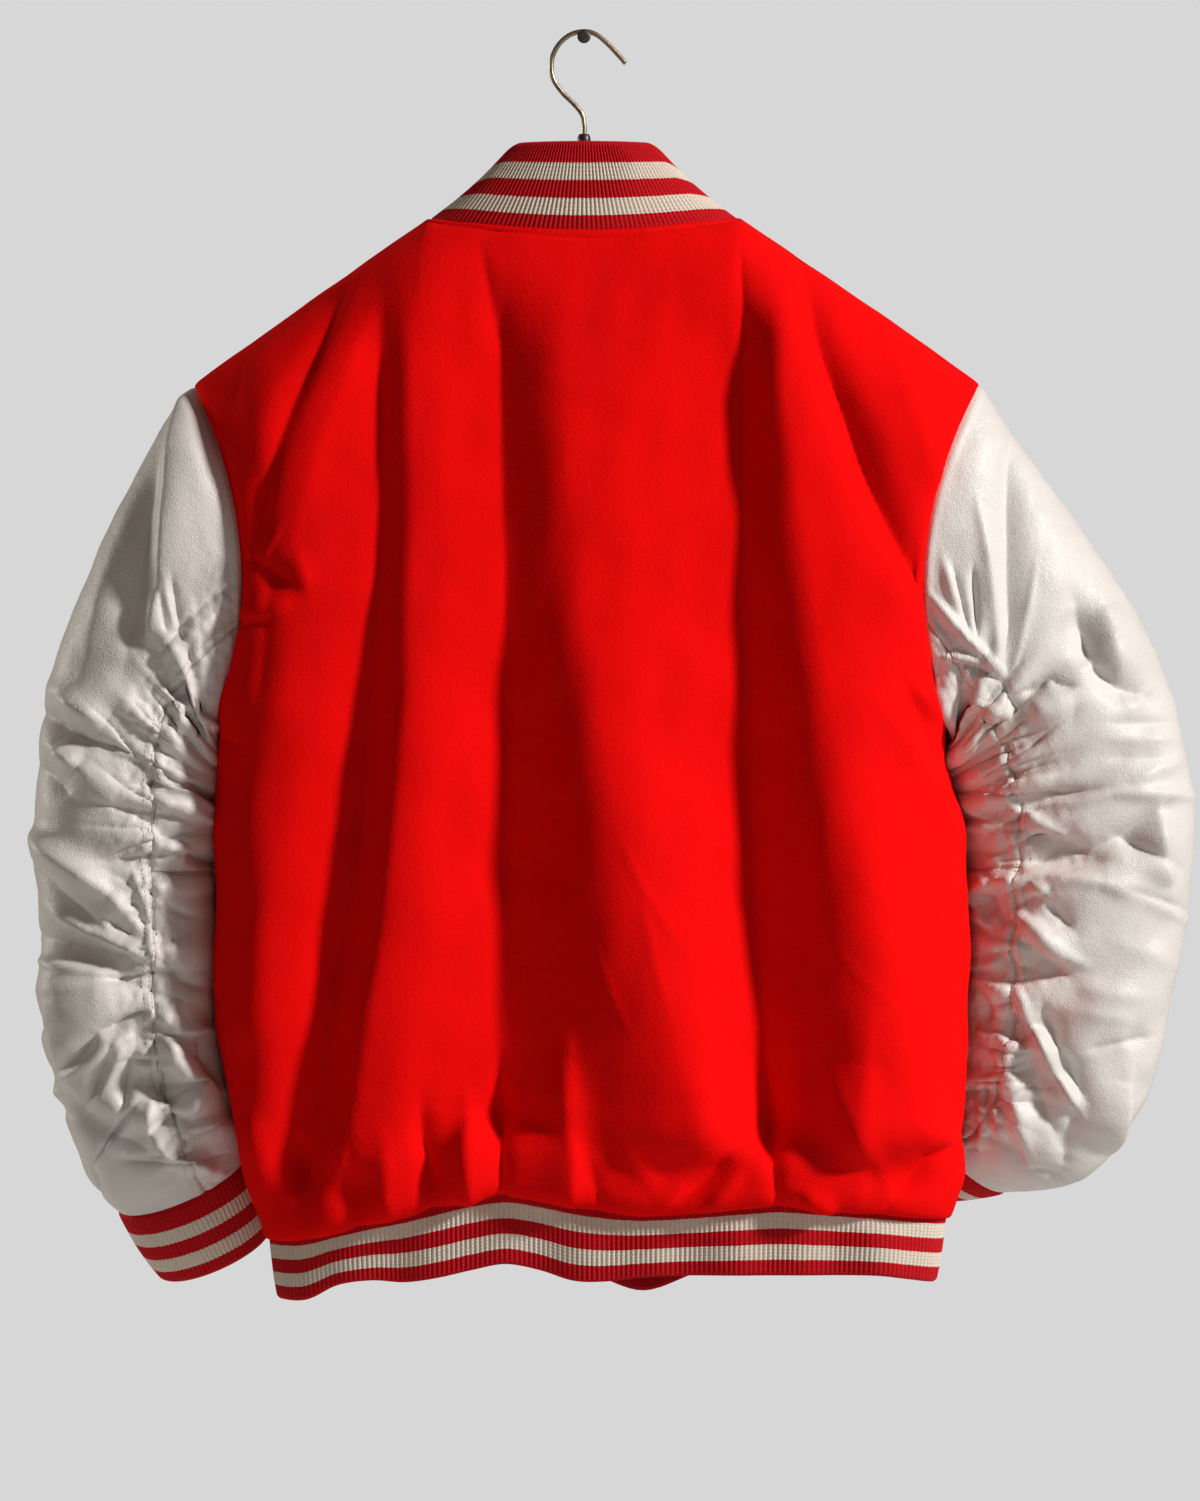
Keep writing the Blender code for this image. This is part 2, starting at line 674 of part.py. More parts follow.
def build_torso_grid(back, side):
    """The grid of the back (side 0) or of one front."""
    rows = side_rows()
    tops = []
    columns = []
    if back:
        count = SHOULDER_COLUMNS
        for point in shoulder_points(-1, count):
            tops.append((point, None, -1))
        for k in range(NECK_BACK_COLUMNS + 1):
            angle = lerp(-90.0, 90.0, k / NECK_BACK_COLUMNS)
            tops.append((neck_seam(angle), angle, 0))
        for point in reversed(shoulder_points(1, count)):
            tops.append((point, None, 1))
        total = len(tops) - 1
        columns = [2.0 * k / total - 1.0 for k in range(total + 1)]
    else:
        for point in shoulder_points(side, SHOULDER_COLUMNS):
            tops.append((point, None, side))
        lap_angle = math.degrees(math.asin(LAP_HALF / NECK_HALF_WIDTH))
        for k in range(NECK_FRONT_COLUMNS + 1):
            angle = side * lerp(90.0, 180.0 - lap_angle, k / NECK_FRONT_COLUMNS)
            tops.append((neck_seam(angle), angle, 0))
        for k in range(1, LAP_COLUMNS + 1):
            angle = side * (180.0 + lap_angle * (2.0 * k / LAP_COLUMNS - 1.0))
            tops.append((neck_seam(angle), angle, 0))
        reach = len(tops) - 1 - LAP_COLUMNS
        columns = [side * (1.0 - FRONT_REACH * k / reach) for k in range(reach + 1)]
    low, high = column_fractions(columns, [top[0] for top in tops])
    if not back:
        width = HEM_RIGHT_X - HEM_LEFT_X
        low.pop()
        for k in range(LAP_COLUMNS + 1):
            low.append((lap_x(side, k) - HEM_LEFT_X) / width)
    grid = []
    for row in rows:
        line = []
        for j, (point, _, _) in enumerate(tops):
            line.append(torso_point(back, row, low[j], high[j], point, side))
        if not back:
            hold_lap(line, side)
        grid.append(line)
    last = len(rows) - 1
    for j, (point, _, _) in enumerate(tops):
        grid[last][j] = point.copy()
        grid[last][j].y += lap_offset(side, point.x, LAP_STEP)
    if back:
        kept = ((-1, 0), (1, len(tops) - 1))
    else:
        kept = ((side, 0),)
    normals = finish_torso(grid, back, tops, kept, rows)
    return grid, normals, tops


def lap_x(side, k):
    """Both fronts' lapping columns stand at the same x, so they stay apart."""
    return side * LAP_HALF * (1.0 - 2.0 * k / LAP_COLUMNS)


def hold_lap(line, side):
    first = len(line) - 1 - LAP_COLUMNS
    for k in range(LAP_COLUMNS + 1):
        line[first + k].x = lap_x(side, k)


# --------------------------------------------------------------- sleeves

def sleeve_table(side):
    return SLEEVE_LEFT_TABLE if side < 0 else SLEEVE_RIGHT_TABLE


def sleeve_fold(side, angle, place):
    """How far a sleeve's folds and the ruching of its seams stand out."""
    folds = SLEEVE_FOLDS_LEFT if side < 0 else SLEEVE_FOLDS_RIGHT
    total = 0.0
    for middle, at, reach, width, slope, relief in folds:
        turn = (angle - middle + 180.0) % 360.0 - 180.0
        off = (place - at - slope * turn) / width
        total += relief * math.exp(-off * off - (turn / reach) ** 2)
    seam = SEAM_DRIFT_LEFT if side < 0 else SEAM_DRIFT_RIGHT
    gathered = ease(place - RUCHE_FIRST_SECTION + 1.0)
    gathered *= ease(RUCHE_LAST_SECTION + 1.0 - place)
    for middle in (seam, 360.0 - seam):
        turn = (angle - middle + 180.0) % 360.0 - 180.0
        near = math.exp(-(turn / RUCHE_REACH) ** 2)
        wave = math.cos(2.0 * math.pi * place / RUCHE_PITCH)
        total += RUCHE_RELIEF * wave * near * gathered
    last = len(sleeve_table(side)) - 1
    return total * ease(place / 1.5) * ease(last - place)


def drifted(side, angle, place):
    """The true angle of a column, as the seams drift down the sleeve."""
    angle %= 360.0
    half = min(angle, 360.0 - angle)
    goal = SEAM_DRIFT_LEFT if side < 0 else SEAM_DRIFT_RIGHT
    goal = lerp(SEAM_ANGLE, goal, ease(place / SEAM_DRIFT_SECTIONS))
    if half <= SEAM_ANGLE:
        half *= goal / SEAM_ANGLE
    else:
        half = 180.0 - (180.0 - half) * (180.0 - goal) / (180.0 - SEAM_ANGLE)
    return half if angle <= 180.0 else 360.0 - half


def sleeve_point(side, angle, place):
    """A point of the sleeve at a column's angle and a section number."""
    angle = drifted(side, angle, place)
    row = through(sleeve_table(side), place)
    out_x, out_z, in_x, in_z, mid_y, depth, bow, lean = row
    turn = math.radians(angle)
    cosine = math.cos(turn)
    sine = math.sin(turn)
    half = Vector(((out_x - in_x) / 2.0, 0.0, (out_z - in_z) / 2.0))
    middle = Vector(((out_x + in_x) / 2.0, mid_y, (out_z + in_z) / 2.0))
    down = Vector((side * half.z, 0.0, -side * half.x)).normalized()
    point = middle + half * cosine
    point.y -= depth * sine
    point.x += bow * sine * sine
    point += down * (lean * sine)
    swell = sleeve_fold(side, angle, place)
    if swell:
        outward = half * cosine
        outward.y -= depth * sine
        point += outward.normalized() * swell
    return point


def sleeve_axis(side):
    """The way the cuff points, square to the sleeve's last section."""
    end = float(len(sleeve_table(side)) - 1)
    a = sleeve_point(side, 0.0, end)
    b = sleeve_point(side, 180.0, end)
    c = sleeve_point(side, 90.0, end)
    middle = (a + b) / 2.0
    axis = (a - middle).cross(c - middle).normalized()
    if axis.z > 0.0:
        axis.negate()
    return middle, axis


def cuff_direction(radial, axis):
    """The rim's way where a sleeve ends and its cuff begins."""
    return (radial.normalized() + axis * CUFF_LEAN).normalized()


def sleeve_angles(inner):
    """The angles of a sleeve panel's columns."""
    if inner:
        half = ring_angles()[SLEEVE_OUTER_HALF_COLUMNS:]
        return half + [360.0 - angle for angle in reversed(half[:-1])]
    half = ring_angles()[:SLEEVE_OUTER_HALF_COLUMNS + 1]
    return [-angle for angle in reversed(half[1:])] + half


def sleeve_grid(side, angles, first_row, last_row):
    """A sleeve panel's grid, with its seams opened by the gap."""
    sections = len(sleeve_table(side)) - 1
    grid = []
    ways = []
    middle, axis = sleeve_axis(side)
    for r in range(first_row, last_row + 1):
        place = sections * r / SLEEVE_ROWS
        line = []
        line_ways = []
        for j, angle in enumerate(angles):
            point = sleeve_point(side, angle, place)
            turned = sleeve_point(side, angle + TURN_STEP, place)
            round_way = turned - sleeve_point(side, angle - TURN_STEP, place)
            before = sleeve_point(side, angle, max(place - PLACE_STEP, 0.0))
            after = sleeve_point(side, angle, min(place + PLACE_STEP, float(sections)))
            way = round_way.cross(after - before).normalized() * side
            if r == 0:
                ring_angle = angle % 360.0
                flip = -1.0 if ring_angle > 180.0 else 1.0
                shared = armhole_direction(side, min(ring_angle, 360.0 - ring_angle))
                way = Vector((shared.x, shared.y * flip, shared.z))
                point.x += side * SEAM_GAP / 2.0
            if r == SLEEVE_ROWS:
                way = cuff_direction(point - middle, axis)
            if j == 0:
                point += round_way.normalized() * (SEAM_GAP / 2.0)
            if j == len(angles) - 1:
                point -= round_way.normalized() * (SEAM_GAP / 2.0)
            if r == first_row and r > 0:
                point += (after - before).normalized() * (SEAM_GAP / 2.0)
            if r == last_row and r < SLEEVE_ROWS:
                point -= (after - before).normalized() * (SEAM_GAP / 2.0)
            line.append(point)
            line_ways.append(way)
        grid.append(line)
        ways.append(line_ways)
    return grid, ways


# ------------------------------------------------------------ rib bands

def resample(points, count):
    """Even steps along a line of points, each given as (number, share)."""
    lengths = [0.0]
    for a, b in zip(points, points[1:]):
        lengths.append(lengths[-1] + (b - a).length)
    steps = []
    low = 0
    for k in range(count + 1):
        goal = lengths[-1] * k / count
        while low < len(points) - 2 and lengths[low + 1] < goal:
            low += 1
        span = lengths[low + 1] - lengths[low]
        steps.append((low, min(max((goal - lengths[low]) / span, 0.0), 1.0)))
    return steps


def band_line(points, steps):
    return [points[low].lerp(points[low + 1], t) for low, t in steps]


def add_band(name, lines, ways, closed, look):
    """A ribbed band through several lines of points, near edge to far edge.

    Its outer skin has two columns to a rib, and its inner skin is plain."""
    length = sum((b - a).length for a, b in zip(lines[0], lines[0][1:]))
    per_sector = 4
    sectors = round(length / RIB_PITCH * 2.0 / per_sector)
    count = sectors * per_sector
    steps = resample(lines[0], count)
    inner_steps = steps[::per_sector]
    points = []
    rows = len(lines)
    columns = count if closed else count + 1
    inner_columns = sectors if closed else sectors + 1
    for line, way in zip(lines, ways):
        for k, (place, out) in enumerate(zip(band_line(line, steps), band_line(way, steps))):
            if k < columns:
                lift = RIB_THICK / 2.0 + (RIB_RELIEF if k % 2 else 0.0)
                points.append(place + out.normalized() * lift)
    inner_start = len(points)
    for line, way in zip(lines, ways):
        for k, (place, out) in enumerate(zip(band_line(line, inner_steps), band_line(way, inner_steps))):
            if k < inner_columns:
                points.append(place - out.normalized() * (RIB_THICK / 2.0))

    def outer_at(i, k):
        return i * columns + k % columns

    def inner_at(i, k):
        return inner_start + i * inner_columns + k % inner_columns

    faces = []
    for i in range(rows - 1):
        for k in range(count):
            faces.append([outer_at(i, k), outer_at(i, k + 1), outer_at(i + 1, k + 1)])
            faces.append([outer_at(i, k), outer_at(i + 1, k + 1), outer_at(i + 1, k)])
        for k in range(sectors):
            faces.append([inner_at(i, k), inner_at(i + 1, k + 1), inner_at(i, k + 1)])
            faces.append([inner_at(i, k), inner_at(i + 1, k), inner_at(i + 1, k + 1)])
    for k in range(sectors):
        first = k * per_sector
        run = range(first, first + per_sector)
        faces.append([outer_at(0, first), inner_at(0, k), inner_at(0, k + 1)])
        faces.extend([outer_at(0, m + 1), outer_at(0, m), inner_at(0, k + 1)] for m in run)
        end = rows - 1
        faces.append([inner_at(end, k), outer_at(end, first), inner_at(end, k + 1)])
        faces.extend([outer_at(end, m), outer_at(end, m + 1), inner_at(end, k + 1)] for m in run)
    if not closed:
        for i in range(rows - 1):
            faces.append([outer_at(i, 0), outer_at(i + 1, 0), inner_at(i, 0)])
            faces.append([outer_at(i + 1, 0), inner_at(i + 1, 0), inner_at(i, 0)])
            faces.append([outer_at(i + 1, count), outer_at(i, count), inner_at(i, sectors)])
            faces.append([outer_at(i + 1, count), inner_at(i, sectors), inner_at(i + 1, sectors)])
    return add_mesh(name, points, faces, look)


def add_collar(neck_lines, look):
    """The collar's band, from the left front round the back to the right."""
    seam = []
    edge = []
    seam_ways = []
    edge_ways = []
    for points, angles, side in neck_lines:
        for point, angle in zip(points, angles):
            way = neck_direction(angle)
            top = collar_edge(angle)
            top.y += lap_offset(side, point.x, LAP_STEP)
            climb = top - point
            climb = (climb - way * climb.dot(way)).normalized()
            seam.append(point + climb * SEAM_GAP)
            seam_ways.append(way)
            edge.append(top)
            turn = math.radians(angle)
            edge_ways.append(Vector((math.sin(turn), -math.cos(turn), COLLAR_LEAN)).normalized())
    return add_band("collar_rib", (seam, edge), (seam_ways, edge_ways), False, look)


def add_hem(hem_lines, look):
    """The hem band hangs from the seam, inside the wool's curled edge."""
    seam = []
    low = []
    ways = []
    drop, swell = CURL_TABLE[0][:2]
    lean = HEM_PULL_IN * -drop / HEM_HEIGHT
    for points in hem_lines:
        for j, point in enumerate(points):
            before = points[max(j - 1, 0)]
            after = points[min(j + 1, len(points) - 1)]
            along = after - before
            out = Vector((along.y, -along.x, 0.0)).normalized()
            at_side_seam = abs(abs(point.y) - SEAM_GAP / 2.0) < 1e-5
            if at_side_seam:
                out = Vector((-1.0 if point.x < 0.0 else 1.0, 0.0, 0.0))
            base = point - out * (swell - lean)
            base.z -= drop
            if at_side_seam and seam and (seam[-1] - base).length < 0.001:
                continue
            seam.append(base)
            ways.append(out)
            low.append(base - out * HEM_PULL_IN - Vector((0.0, 0.0, HEM_HEIGHT)))
    return add_band("hem_rib", (seam, low), (ways, ways), False, look)


def add_cuff(name, side, look):
    """The cuff's tube goes on from the sleeve's last section."""
    end = float(len(sleeve_table(side)) - 1)
    angles = sleeve_angles(False) + sleeve_angles(True)[1:]
    middle, axis = sleeve_axis(side)
    near = []
    far = []
    near_ways = []
    far_ways = []
    for angle in angles:
        point = sleeve_point(side, angle, end)
        radial = point - middle
        way = cuff_direction(radial, axis)
        apart = (axis - way * axis.dot(way)).normalized()
        near.append(point + apart * SEAM_GAP)
        near_ways.append(way)
        far.append(middle + radial * CUFF_TAPER + axis * CUFF_LENGTH)
        far_ways.append(radial.normalized())
    return add_band(name, (near, far), (near_ways, far_ways), True, look)


# --------------------------------------------------------------- hardware

def add_snap(name, seat, way, look):
    """A low domed cap standing on the front's outer side."""
    profile = (
        (SNAP_RADIUS * 0.94, 0.0),
        (SNAP_RADIUS, SNAP_HEIGHT * 0.35),
        (SNAP_RADIUS * 0.72, SNAP_HEIGHT * 0.85),
    )
    sides = 10
    across = way.cross(Vector((0.0, 0.0, 1.0))).normalized()
    up = across.cross(way).normalized()
    points = [seat]
    for radius, height in profile:
        for k in range(sides):
            turn = 2.0 * math.pi * k / sides
            flat = across * math.cos(turn) + up * math.sin(turn)
            points.append(seat + flat * radius + way * height)
    points.append(seat + way * SNAP_HEIGHT)
    faces = []
    for k in range(sides):
        after = (k + 1) % sides
        faces.append([0, 1 + k, 1 + after])
        for ring in range(len(profile) - 1):
            a = 1 + ring * sides
            faces.append([a + k, a + sides + k, a + sides + after, a + after])
        a = 1 + (len(profile) - 1) * sides
        faces.append([a + k, len(points) - 1, a + after])
    return add_mesh(name, points, faces, look)


def add_snaps(grid, ways, look):
    """Snap caps evenly spaced down the left front's centre line."""
    column = len(grid[0]) - 1 - LAP_COLUMNS // 2
    line = [row[column] for row in grid]
    directions = [row[column] for row in ways]
    for k in range(SNAP_COUNT):
        z = lerp(SNAP_TOP_Z, SNAP_LOW_Z, k / (SNAP_COUNT - 1))
        for i in range(len(CURL_TABLE) - 1, len(line) - 1):
            if line[i].z <= z <= line[i + 1].z:
                t = (z - line[i].z) / (line[i + 1].z - line[i].z)
                way = directions[i].lerp(directions[i + 1], t)
                way = Vector((0.0, way.y, way.z)).normalized()
                point = line[i].lerp(line[i + 1], t)
                seat = point + way * (WOOL_THICK / 2.0 + SNAP_SEAT)
                add_snap("snap_%d" % (k + 1), seat, way, look)
                break


def hanger_top(x):
    """The height of the hanger's upper side, under the shoulder seams."""
    if abs(x) < HANGER_BEND_END:
        return HANGER_CREST_Z - HANGER_BEND * x * x
    tip = SHOULDER_LEFT if x < 0.0 else SHOULDER_RIGHT
    slope = (tip[1] - NECK_SIDE_Z) / (abs(tip[0]) - NECK_HALF_WIDTH)
    ridge = NECK_SIDE_Z + slope * (abs(x) - NECK_HALF_WIDTH)
    return ridge - WOOL_THICK / 2.0 / shoulder_direction(1).z - HANGER_SEAT


def add_hanger(look):
    """The bar: an oval section swept from tip to tip."""
    steps = 18
    sides = 10
    points = []
    for k in range(steps + 1):
        x = lerp(-HANGER_TIP, HANGER_TIP, k / steps)
        near_tip = lerp(HANGER_TIP_SIZE, 1.0, ease((HANGER_TIP - abs(x)) / HANGER_TIP_LENGTH))
        half_high = HANGER_HALF_HEIGHT * near_tip
        half_thick = HANGER_HALF_THICK * near_tip
        middle = hanger_top(x) - half_high
        for m in range(sides):
            turn = 2.0 * math.pi * m / sides
            points.append(Vector((x, half_thick * math.sin(turn), middle + half_high * math.cos(turn))))
    faces = []
    for k in range(steps):
        for m in range(sides):
            a = k * sides
            b = a + sides
            after = (m + 1) % sides
            faces.append([a + m, b + m, b + after, a + after])
    faces.append(list(range(sides)))
    faces.append([steps * sides + m for m in reversed(range(sides))])
    return add_mesh("hanger_bar", points, faces, look)


def add_turned(name, profile, origin, axis, look, sides=12):
    """A closed turned solid from rows of radius and distance along an axis."""
    across = axis.orthogonal().normalized()
    up = axis.cross(across)
    points = []
    for radius, along in profile:
        for m in range(sides):
            turn = 2.0 * math.pi * m / sides
            flat = across * math.cos(turn) + up * math.sin(turn)
            points.append(origin + axis * along + flat * radius)
    faces = []
    for k in range(len(profile) - 1):
        for m in range(sides):
            a = k * sides
            b = a + sides
            after = (m + 1) % sides
            faces.append([a + m, a + after, b + after, b + m])
    faces.append(list(reversed(range(sides))))
    faces.append([(len(profile) - 1) * sides + m for m in range(sides)])
    return add_mesh(name, points, faces, look)


def add_knob(look):
    """A turned ferrule on the bar's crest, which the hook's wire enters."""
    low = HANGER_CREST_Z + SEAM_GAP
    height = KNOB_TOP_Z - low
    profile = (
        (KNOB_RADIUS * 0.95, 0.0),
        (KNOB_RADIUS * 0.70, height * 0.35),
        (KNOB_RADIUS * 0.80, height * 0.60),
        (KNOB_RADIUS, height * 0.80),
        (KNOB_RADIUS * 0.75, height),
    )
    add_turned("hanger_knob", profile, Vector((0.0, 0.0, low)), Vector((0.0, 0.0, 1.0)), look)


def add_hook(look):
    """Round wire along a smooth curve through the route's points."""
    curve = bpy.data.curves.new("hanger_hook", "CURVE")
    curve.dimensions = "3D"
    curve.bevel_depth = WIRE_RADIUS
    curve.bevel_resolution = 2
    curve.use_fill_caps = True
    spans = len(HOOK_ROUTE) - 1
    places = [through(HOOK_ROUTE, k / HOOK_STEPS) for k in range(spans * HOOK_STEPS + 1)]
    spline = curve.splines.new("POLY")
    spline.points.add(len(places) - 1)
    for point, (x, z) in zip(spline.points, places):
        point.co = (x, 0.0, z, 1.0)
    return add_object("hanger_hook", curve, look)


def add_nail(look):
    """The nail: a round head before the hook, and a shank into the wall."""
    length = NAIL_WALL_Y - NAIL_HEAD_Y
    profile = (
        (NAIL_HEAD_RADIUS * 0.75, -NAIL_HEAD_THICK),
        (NAIL_HEAD_RADIUS, -NAIL_HEAD_THICK * 0.5),
        (NAIL_HEAD_RADIUS, 0.0),
        (NAIL_RADIUS, 0.0005),
        (NAIL_RADIUS, length),
    )
    add_turned("wall_nail", profile, Vector((0.0, NAIL_HEAD_Y, 0.0)), Vector((0.0, 1.0, 0.0)), look)


# ------------------------------------------------------------------ build

def main():
    for old in list(bpy.data.objects):
        bpy.data.objects.remove(old, do_unlink=True)

    wool = (0.74, 0.004, 0.006)
    leather = (0.80, 0.77, 0.71)
    rib = (0.46, 0.004, 0.010)

    back_grid, back_ways, back_tops = build_torso_grid(True, 0)
    left_grid, left_ways, left_tops = build_torso_grid(False, -1)
    right_grid, right_ways, right_tops = build_torso_grid(False, 1)
    add_wall("back_panel", back_grid, back_ways, WOOL_THICK, material("wool back", wool, 0.95))
    add_wall("front_left", left_grid, left_ways, WOOL_THICK, material("wool left front", wool, 0.95))
    add_wall("front_right", right_grid, right_ways, WOOL_THICK, material("wool right front", wool, 0.95))

    last = len(back_grid) - 1
    neck_lines = []
    left_neck = [j for j, top in enumerate(left_tops) if top[1] is not None]
    back_neck = [j for j, top in enumerate(back_tops) if top[1] is not None]
    right_neck = [j for j, top in enumerate(right_tops) if top[1] is not None]
    left_neck.reverse()
    neck_lines.append(([left_grid[last][j] for j in left_neck], [left_tops[j][1] for j in left_neck], -1))
    neck_lines.append(([back_grid[last][j] for j in back_neck], [back_tops[j][1] for j in back_neck], 0))
    neck_lines.append(([right_grid[last][j] for j in right_neck], [right_tops[j][1] for j in right_neck], 1))
    add_collar(neck_lines, material("rib collar", rib, 0.9))

    hem_lines = (list(reversed(left_grid[0])), back_grid[0], right_grid[0])
    add_hem(hem_lines, material("rib hem", rib, 0.9))

    for side, word in ((-1, "left"), (1, "right")):
        outer = sleeve_grid(side, sleeve_angles(False), 0, SLEEVE_ROWS)
        name = "sleeve_%s_outer" % word
        add_wall(name, *outer, LEATHER_THICK, material(name, leather, 0.5))
        upper = sleeve_grid(side, sleeve_angles(True), 0, SLEEVE_SPLIT_ROW)
        name = "sleeve_%s_inner_upper" % word
        add_wall(name, *upper, LEATHER_THICK, material(name, leather, 0.5))
        lower = sleeve_grid(side, sleeve_angles(True), SLEEVE_SPLIT_ROW, SLEEVE_ROWS)
        name = "sleeve_%s_inner_lower" % word
        add_wall(name, *lower, LEATHER_THICK, material(name, leather, 0.5))
        add_cuff("cuff_%s" % word, side, material("rib cuff %s" % word, rib, 0.9))

    add_snaps(left_grid, left_ways, material("snap", (0.62, 0.60, 0.57), 0.35, 1.0))
    add_hanger(material("dark wood", (0.035, 0.022, 0.016), 0.45))
    add_knob(material("dark ferrule", (0.05, 0.04, 0.035), 0.4))
    add_hook(material("aged wire", (0.42, 0.36, 0.27), 0.4, 1.0))
    add_nail(material("nail steel", (0.10, 0.09, 0.085), 0.5, 1.0))


main()
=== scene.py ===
import math

import bpy
import numpy as np
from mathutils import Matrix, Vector


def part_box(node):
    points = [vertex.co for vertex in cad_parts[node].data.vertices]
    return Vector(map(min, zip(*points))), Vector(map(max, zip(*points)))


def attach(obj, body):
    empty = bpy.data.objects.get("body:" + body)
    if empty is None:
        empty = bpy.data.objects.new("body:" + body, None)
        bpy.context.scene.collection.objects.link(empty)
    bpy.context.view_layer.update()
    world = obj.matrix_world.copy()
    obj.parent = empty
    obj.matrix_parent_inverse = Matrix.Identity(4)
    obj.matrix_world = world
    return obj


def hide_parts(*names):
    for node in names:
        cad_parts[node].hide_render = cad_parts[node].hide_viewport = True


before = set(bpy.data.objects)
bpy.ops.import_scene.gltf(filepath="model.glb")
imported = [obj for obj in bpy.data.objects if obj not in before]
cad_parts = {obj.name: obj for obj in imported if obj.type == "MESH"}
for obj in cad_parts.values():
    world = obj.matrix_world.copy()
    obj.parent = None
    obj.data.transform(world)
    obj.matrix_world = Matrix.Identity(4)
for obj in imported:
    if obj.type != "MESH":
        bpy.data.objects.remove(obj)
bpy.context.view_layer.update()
print("frame loaded:", len(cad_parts), "nodes")


# numbers and curves

def lerp(a, b, t):
    return a + (b - a) * t


def ease(t):
    t = np.clip(t, 0.0, 1.0)
    return t * t * (3.0 - 2.0 * t)


def unit(ways):
    return ways / np.maximum(np.linalg.norm(ways, axis=-1, keepdims=True), 1e-12)


def throughRows(rows, at):
    # a smooth curve through the rows, read at fractional row numbers
    rows = np.asarray(rows, float)
    last = len(rows) - 1
    at = np.clip(np.asarray(at, float), 0.0, last)
    low = np.minimum(at.astype(int), last - 1)
    t = (at - low).reshape(at.shape + (1,) * (rows.ndim - 1))
    a, b = rows[np.maximum(low - 1, 0)], rows[low]
    c, d = rows[low + 1], rows[np.minimum(low + 2, last)]
    slopeB, slopeC = (c - a) * 0.5, (d - b) * 0.5
    cube = 2.0 * (b - c) + slopeB + slopeC
    square = 3.0 * (c - b) - 2.0 * slopeB - slopeC
    return ((cube * t + square) * t + slopeB) * t + b


def lookUp(rows, key, column):
    rows = sorted(rows)
    return np.interp(key, [r[0] for r in rows], [r[column] for r in rows])


def fineMarks(lengths, step, firstPinches=(), lastPinches=()):
    # row or column numbers about one step apart, crowded at the two ends
    marks = []
    for k, length in enumerate(lengths):
        count = max(1, round(length / step))
        marks += [k + i / count for i in range(count)]
    marks.append(float(len(lengths)))
    marks += [pinch / lengths[0] for pinch in firstPinches]
    marks += [len(lengths) - pinch / lengths[-1] for pinch in lastPinches]
    return np.array(sorted(set(marks)))


def stepLengths(points):
    return np.linalg.norm(np.diff(points, axis=0), axis=-1)


def gridWays(grid):
    # unit normals of a grid of points
    along = np.gradient(grid, axis=0)
    across = np.gradient(grid, axis=1)
    return unit(np.cross(across, along))


def edgeDistances(grid):
    across = np.linalg.norm(np.diff(grid, axis=1), axis=2)
    along = np.linalg.norm(np.diff(grid, axis=0), axis=2)
    left = np.pad(np.cumsum(across, axis=1), ((0, 0), (1, 0)))
    low = np.pad(np.cumsum(along, axis=0), ((1, 0), (0, 0)))
    return {"left": left, "right": left[:, -1:] - left, "low": low, "top": low[-1:] - low}


def creaseField(x, z, creases):
    # folds in millimetres: from x, z to x, z, sideways sag, half width, lean, relief
    x, z = x * 1000.0, z * 1000.0
    total = np.zeros_like(x)
    for x0, z0, x1, z1, sag, width, lean, relief in creases:
        runX, runZ = x1 - x0, z1 - z0
        length = math.hypot(runX, runZ)
        t = ((x - x0) * runX + (z - z0) * runZ) / length ** 2
        inside = np.clip(t, 0.0, 1.0)
        aside = ((x - x0) * runZ - (z - z0) * runX) / length - sag * 4.0 * inside * (1.0 - inside)
        beyond = (t - inside) * length / (width * 1.2)
        swell = np.sin(math.pi * (0.05 + 0.90 * inside))
        wide = np.where(aside > 0.0, width * (1.0 + lean), width * (1.0 - lean)) * (0.5 + 0.5 * swell)
        power = 1.35 if relief < 0.0 else 1.6
        fade = np.minimum(1.15 * swell, 1.0) ** 0.8
        total += relief * fade * np.exp(-np.abs(aside / wide) ** power - beyond ** 2)
    return total / 1000.0


def ripples(points, seed, count, short, long, height):
    # gentle unevenness: plane waves between two lengths, in seeded directions
    draw = np.random.RandomState(seed)
    total = np.zeros(points.shape[:-1])
    for _ in range(count):
        way = unit(draw.normal(size=3))
        size = math.exp(draw.uniform(math.log(short), math.log(long)))
        total += np.sin(points @ way * (2.0 * math.pi / size) + draw.uniform(0.0, 6.3)) * size
    return total * height / (long * math.sqrt(count))


# shader writing

class Wire:
    # a shader socket that can be used in sums
    def __init__(self, tree, socket):
        self.tree, self.socket = tree, socket

    def sum(self, operation, left, right):
        made = self.tree.nodes.new("ShaderNodeMath")
        made.operation = operation
        for place, term in enumerate((left, right)):
            if isinstance(term, Wire):
                self.tree.links.new(term.socket, made.inputs[place])
            else:
                made.inputs[place].default_value = term
        return Wire(self.tree, made.outputs[0])

    def __add__(self, other):
        return self.sum("ADD", self, other)

    def __radd__(self, other):
        return self.sum("ADD", other, self)

    def __sub__(self, other):
        return self.sum("SUBTRACT", self, other)

    def __rsub__(self, other):
        return self.sum("SUBTRACT", other, self)

    def __mul__(self, other):
        return self.sum("MULTIPLY", self, other)

    def __rmul__(self, other):
        return self.sum("MULTIPLY", other, self)

    def __gt__(self, other):
        return self.sum("GREATER_THAN", self, other)

    def __lt__(self, other):
        return self.sum("LESS_THAN", self, other)


